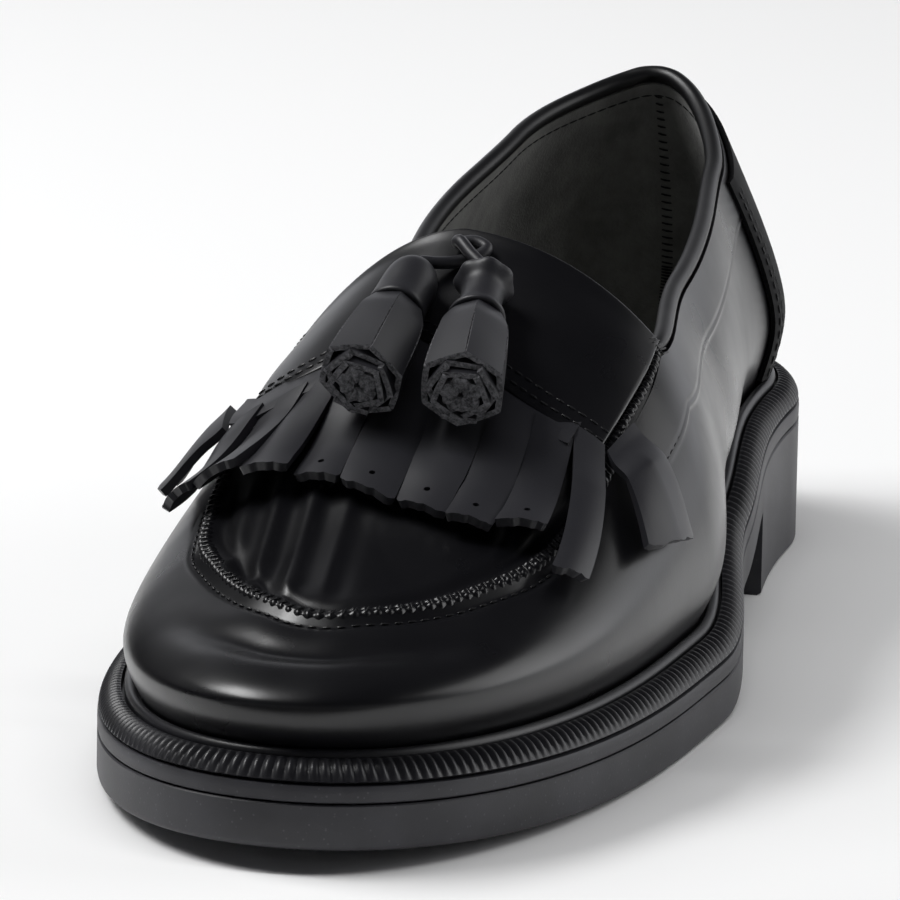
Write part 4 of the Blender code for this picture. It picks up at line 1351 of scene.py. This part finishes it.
# Heads by distance from the tip and radius in mm: one drawn smooth, one with a flared ruffle over a neck
SMOOTH_HEAD = [
    (-0.7, 1.2), (-0.5, 2.4), (0.3, 3.5), (1.6, 4.3), (3.4, 4.7), (5.6, 4.8), (8.0, 4.8), (10.0, 4.9),
    (11.6, 5.1), (12.6, 5.2), (12.9, 4.6), (12.6, 3.0),
]
RUFFLED_HEAD = [
    (0.3, 1.4), (0.0, 2.6), (-0.5, 3.9), (-0.4, 5.0), (0.4, 5.3), (1.2, 4.9), (2.0, 4.1), (2.8, 3.6),
    (4.5, 3.55), (7.0, 3.6), (8.6, 3.8), (9.8, 4.3), (10.9, 4.9), (11.8, 5.1), (12.1, 4.5), (11.8, 3.0),
]


def tassel_frame(tassel):
    head, direction = tassel_axis(tassel)
    side = unit(np.cross(direction, (0.0, 0.0, 1.0)))
    return head, direction, side, np.cross(side, direction)


def skirt_radius(share):
    return TASSEL_SKIRT / 2.0 * read_table(TASSEL_PROFILE, "share", "radius", share)


def skirt_strips(frame, turn0, calf, raw):
    """Flat strips of a tassel's skirt, in layers."""
    head, direction, side, other = frame
    axis = head + direction * TASSEL_LENGTH * 0.6
    strips = []
    for layer, (inward, count, start, stop, phase) in enumerate(SKIRT_LAYERS):
        for k in range(count):
            turn = turn0 + 2.0 * math.pi * (k + phase) / count
            mid = math.cos(turn) * side + math.sin(turn) * other
            across = -math.sin(turn) * side + math.cos(turn) * other
            uneven = 0.016 * math.sin(3.1 * k + 1.3 * layer + turn0)
            rows = []
            for share in np.linspace(start, stop + uneven, 26):
                radius = max(0.8, float(skirt_radius(min(share, 1.0))) - inward)
                half = radius * math.tan(math.pi / count) * 0.93
                c = np.linspace(-1.0, 1.0, 9)[:, None]
                ripple = 0.12 * math.sin(2.0 * k + 9.0 * share + layer)
                bend = radius * (1.0 - 0.03 * c ** 2) + ripple * c
                rows.append(head + direction * TASSEL_LENGTH * share + mid * bend + across * half * c)
            strip = sheet("skirt_strip", rows, tuple(axis * MM))
            wear(strip, calf, raw)
            strips.append(thicken(strip, SKIRT_THICKNESS, 1))
    return strips


def make_tassel(tassel, calf, raw, turn0, head_profile, ruffle):
    """Leather rolled into a tassel: a bound head, and flat strips in layers round a core."""
    frame = tassel_frame(tassel)
    head, direction, side, other = frame
    strips = skirt_strips(frame, turn0, calf, raw)
    turns = np.linspace(0.0, 2.0 * math.pi, 49)
    radial = np.cos(turns)[:, None] * side + np.sin(turns)[:, None] * other
    rings = []
    for along, radius in head_profile:
        crimp = 1.0 + ruffle * math.exp(-(((along - 0.5) / 1.3) ** 2)) * np.cos(7.0 * turns + 2.0 * turn0)
        lump = 1.0 + 0.02 * np.cos(3.0 * turns + along * 0.5)
        rings.append(head + direction * along + radial * (radius * crimp * lump)[:, None])
    cap = close_ends(weld(shaped_grid("tassel_cap", np.array(rings))))
    modify(cap, "SUBSURF", levels=1, render_levels=1)
    wear(cap, calf, raw)
    rings = []
    for share, radius in CORE:
        crumb = 1.0 + 0.08 * np.sin(5.0 * turns + 7.0 * share) + 0.05 * np.sin(11.0 * turns)
        rough = 0.25 * np.sin(9.0 * turns + 20.0 * radius) if share > 0.95 else 0.0 * turns
        spot = head + direction * TASSEL_LENGTH * share
        rings.append(spot + radial * (radius * crumb)[:, None] + direction * rough[:, None])
    core = close_ends(weld(shaped_grid("tassel_core", np.array(rings))))
    wear(core, raw)
    whole = joined(tassel["name"] + "_skirt", [cap] + strips + [core])
    return finish_piece(whole, [tassel["name"]], angle=45.0)


def tie_points():
    """Plan of the tie on the saddle: up from one head, round a flat loop over itself, down to the other."""
    ends = []
    for tassel in TASSELS:
        head, direction = tassel_axis(tassel)
        ends.append([head - direction * CLEARANCE, head - direction * (CLEARANCE + LACE_THICKNESS)])
    base = SADDLE_LIFT + SADDLE_THICKNESS + LACE_THICKNESS / 2.0 + 0.1
    over = base + LACE_THICKNESS * 0.95
    spots = [(-3.6, -17.2, base + 1.2), (-0.6, -14.8, base), (2.6, -12.8, base), (3.4, -10.9, base),
             (1.0, -9.8, base), (-1.6, -11.0, base + 0.3), (-0.6, -13.4, over), (2.0, -16.0, over),
             (4.4, -18.0, over)]
    return ends[0] + [over_instep(*spot) for spot in spots] + ends[1][::-1]


def rounded_path(points, steps):
    """A smooth line through points."""
    points = np.array(points)
    padded = np.concatenate([[2.0 * points[0] - points[1]], points, [2.0 * points[-1] - points[-2]]])
    line = []
    for a, b, c, d in zip(padded, padded[1:], padded[2:], padded[3:]):
        for t in np.arange(steps) / steps:
            line.append(0.5 * (
                2.0 * b + (c - a) * t + (2.0 * a - 5.0 * b + 4.0 * c - d) * t ** 2
                + (3.0 * b - a - 3.0 * c + d) * t ** 3))
    line.append(points[-1])
    return line


def make_lace(calf):
    """The tie between the tassels, one open line from head to head."""
    points = rounded_path(tie_points(), 8)
    curve = bpy.data.curves.new("tassel_tie", "CURVE")
    curve.dimensions = "3D"
    curve.bevel_depth = LACE_THICKNESS / 2.0 * MM
    curve.bevel_resolution = 3
    curve.use_fill_caps = True
    spline = curve.splines.new("POLY")
    spline.points.add(len(points) - 1)
    for point, place in zip(spline.points, points):
        point.co = (*(c * MM for c in place), 1.0)
        point.radius = 0.92
    lace = linked("tassel_tie", curve)
    curve.materials.append(calf)
    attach(lace, "root")
    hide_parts("tassel_lace")
    return lace


# Studio

CAMERA_TURN = 16.632
CAMERA_RISE = 13.947
CAMERA_ROLL = -0.772
CAMERA_FAR = 1752.5
CAMERA_FOCUS = 4709.5
PHOTO_ANCHOR = (574.0, 446.5)
PHOTO_MIDDLE = 450.0
CROP_MIDDLE = (560.0, 450.0)
CROP_WIDTH = 420.0
ANCHOR_HEIGHT = 40.0
SENSOR = 36.0
SHOE_MIDDLE = (0.0, -0.02, 0.04)
TOE_SPOT = (0.0, -0.127, 0.030)


def make_camera():
    """The photograph's camera, turned to the one shoe and zoomed in on it."""
    turn, rise, roll = (math.radians(a) for a in (CAMERA_TURN, CAMERA_RISE, CAMERA_ROLL))
    back = np.array([math.sin(turn) * math.cos(rise), -math.cos(turn) * math.cos(rise), math.sin(rise)])
    right = np.array([math.cos(turn), math.sin(turn), 0.0])
    up = np.cross(back, right)
    cam_right = right * math.cos(roll) - up * math.sin(roll)
    cam_up = right * math.sin(roll) + up * math.cos(roll)
    shift_x = (PHOTO_ANCHOR[0] - PHOTO_MIDDLE) / CAMERA_FOCUS * CAMERA_FAR
    shift_y = -(PHOTO_ANCHOR[1] - PHOTO_MIDDLE) / CAMERA_FOCUS * CAMERA_FAR
    place = np.array([0.0, 0.0, ANCHOR_HEIGHT]) - cam_right * shift_x - cam_up * shift_y + back * CAMERA_FAR
    aim_x = (CROP_MIDDLE[0] - PHOTO_MIDDLE) / CAMERA_FOCUS
    aim_y = (CROP_MIDDLE[1] - PHOTO_MIDDLE) / CAMERA_FOCUS
    aim = cam_right * aim_x - cam_up * aim_y - back
    away = unit(-aim)
    level = unit(np.cross(cam_up, away))
    data = bpy.data.cameras.new("studio_camera")
    data.sensor_width = SENSOR
    data.lens = CAMERA_FOCUS / CROP_WIDTH * SENSOR
    data.clip_start = 0.1
    data.clip_end = 50.0
    camera = linked("studio_camera", data)
    axes = np.column_stack([level, np.cross(away, level), away, place * MM])
    camera.matrix_world = Matrix([*axes.tolist(), (0.0, 0.0, 0.0, 1.0)])
    bpy.context.scene.camera = camera


def make_light(
        name, turn, rise, far, size, power,
        shape="RECTANGLE", size_y=None, seen=True, aim=SHOE_MIDDLE):
    """An area light at a compass turn (0 ahead of the toe, 90 on the outer side) and a rise, in degrees."""
    a = math.radians(turn)
    e = math.radians(rise)
    spot = Vector((math.sin(a) * math.cos(e), -math.cos(a) * math.cos(e), math.sin(e))) * far
    data = bpy.data.lights.new(name, "AREA")
    data.shape = shape
    data.size = size
    if size_y is not None:
        data.size_y = size_y
    data.energy = power
    light = linked(name, data)
    light.location = spot + Vector(aim)
    light.rotation_euler = spot.to_track_quat("Z", "Y").to_euler()
    light.visible_glossy = seen
    return light


def make_card(name, place, turns, sizes):
    """A black card that only reflections see, as beside a shiny product."""
    bpy.ops.object.select_all(action="DESELECT")
    bpy.ops.mesh.primitive_plane_add(size=1.0, location=place, rotation=[math.radians(t) for t in turns])
    card = bpy.context.object
    card.name = name
    card.scale = (sizes[0], sizes[1], 1.0)
    bpy.ops.object.transform_apply(location=True, rotation=True, scale=True)
    wear(card, studio_finish("black_card", "#0c0c0e", 1.0, 0.5))
    card.visible_camera = False
    card.visible_diffuse = False
    card.visible_shadow = False


def make_studio():
    """White floor, a glow low behind the shoe, soft lamps, and black cards left and in front."""
    bpy.ops.object.select_all(action="DESELECT")
    bpy.ops.mesh.primitive_plane_add(size=12.0, location=(0.0, 0.0, 0.0))
    floor = bpy.context.object
    floor.name = "studio_floor"
    wear(floor, studio_finish("studio_floor", "#f4f4f4", 0.9, 0.0))
    world = bpy.data.worlds.new("studio_world")
    world.use_nodes = True
    bpy.context.scene.world = world
    tree = world.node_tree
    ground = tree.nodes["Background"]
    place = add(tree, "ShaderNodeTexCoord").outputs["Generated"]
    axes = add(tree, "ShaderNodeSeparateXYZ", {"Vector": place})
    shares = []
    for axis, start, stop, first, last in (("Z", 0.10, 0.60, 1.0, 0.0), ("Y", 0.1, 0.7, 0.12, 1.0)):
        fade = add(tree, "ShaderNodeMapRange", {
            "Value": axes.outputs[axis], "From Min": start, "From Max": stop,
            "To Min": first, "To Max": last}, interpolation_type="SMOOTHSTEP")
        shares.append(fade.outputs["Result"])
    both = add(tree, "ShaderNodeMath", {0: shares[0], 1: shares[1]}, operation="MULTIPLY")
    tone = two_tones(tree, both.outputs["Value"], 0.0, (0.02, 0.02, 0.022, 1.0), 1.0, (0.85, 0.86, 0.90, 1.0))
    tree.links.new(tone, ground.inputs["Color"])
    ground.inputs["Strength"].default_value = 1.0
    make_light("overhead_fill", 0.0, 88.0, 2.2, 3.4, 28.0, seen=False)
    make_light("toe_key", -93.0, 56.0, 1.6, 1.20, 14.0, shape="ELLIPSE", size_y=0.45, aim=TOE_SPOT)
    make_light("outer_soft_box", 118.0, 22.0, 1.5, 1.0, 5.0, size_y=1.0)
    make_light("inner_soft_box", -95.0, 40.0, 1.5, 0.6, 4.0, size_y=0.6)
    make_card("inner_card", (-0.19, -0.05, 0.09), (0.0, 90.0, 0.0), (0.2, 0.42))
    make_card("front_card", (-0.05, -0.46, 0.002), (0.0, 0.0, 0.0), (0.7, 0.58))
    bpy.context.scene.view_settings.view_transform = "Standard"
    bpy.context.scene.view_settings.look = "None"


# Making the shoe

calf = polished_calf("polished_black_calf", "#0b0b0e", 0.26, 0.36, 0.2)
# Fringe, tassels and lace wear a rougher, less polished copy of the calf. Its base is lifted to a lighter
# grey as painted light, standing in for the light the strips catch.
fringe_calf_painted_light = polished_calf("fringe_calf_painted_light", "#232327", 0.40, 0.52, 0.1)
binding_calf = polished_calf("binding_calf", "#0c0c0e", 0.36, 0.46, 0.05)
counter_calf = polished_calf("counter_leather", "#09090b", 0.6, 0.7, 0.0, 0.6, 0.2, 0.15)
suede = suede_lining()
sock = polished_calf("black_sock_leather", "#0b0b0c", 0.6, 0.7, 0.0, 0.7, 0.3, 0.2)
sole_rubber = moulded_rubber("moulded_sole_rubber", "#2a2a2e", "#38383d", 0.5, 0.25)
welt_rubber = moulded_rubber("satin_welt_rubber", "#18181b", "#212125", 0.38, 0.0)
thread = waxed_thread()
raw = cut_edge()

make_camera()
make_lace(fringe_calf_painted_light)
make_outsole(sole_rubber)
make_midsole(sole_rubber)
make_welt(welt_rubber)
make_bead(welt_rubber)
make_insole(sock)
make_upper(calf, suede)
make_binding(binding_calf)
make_heel_counter(counter_calf, thread)
make_apron_seam(calf, thread)
make_topline_stitches(thread)
make_lining_stitches(thread)
make_saddle(calf, thread)
make_side_seams(calf, thread)
make_fringe(fringe_calf_painted_light, raw)
make_tassel(TASSELS[0], fringe_calf_painted_light, raw, 0.35, SMOOTH_HEAD, 0.0)
make_tassel(TASSELS[1], fringe_calf_painted_light, raw, 0.10, RUFFLED_HEAD, 0.05)
make_studio()
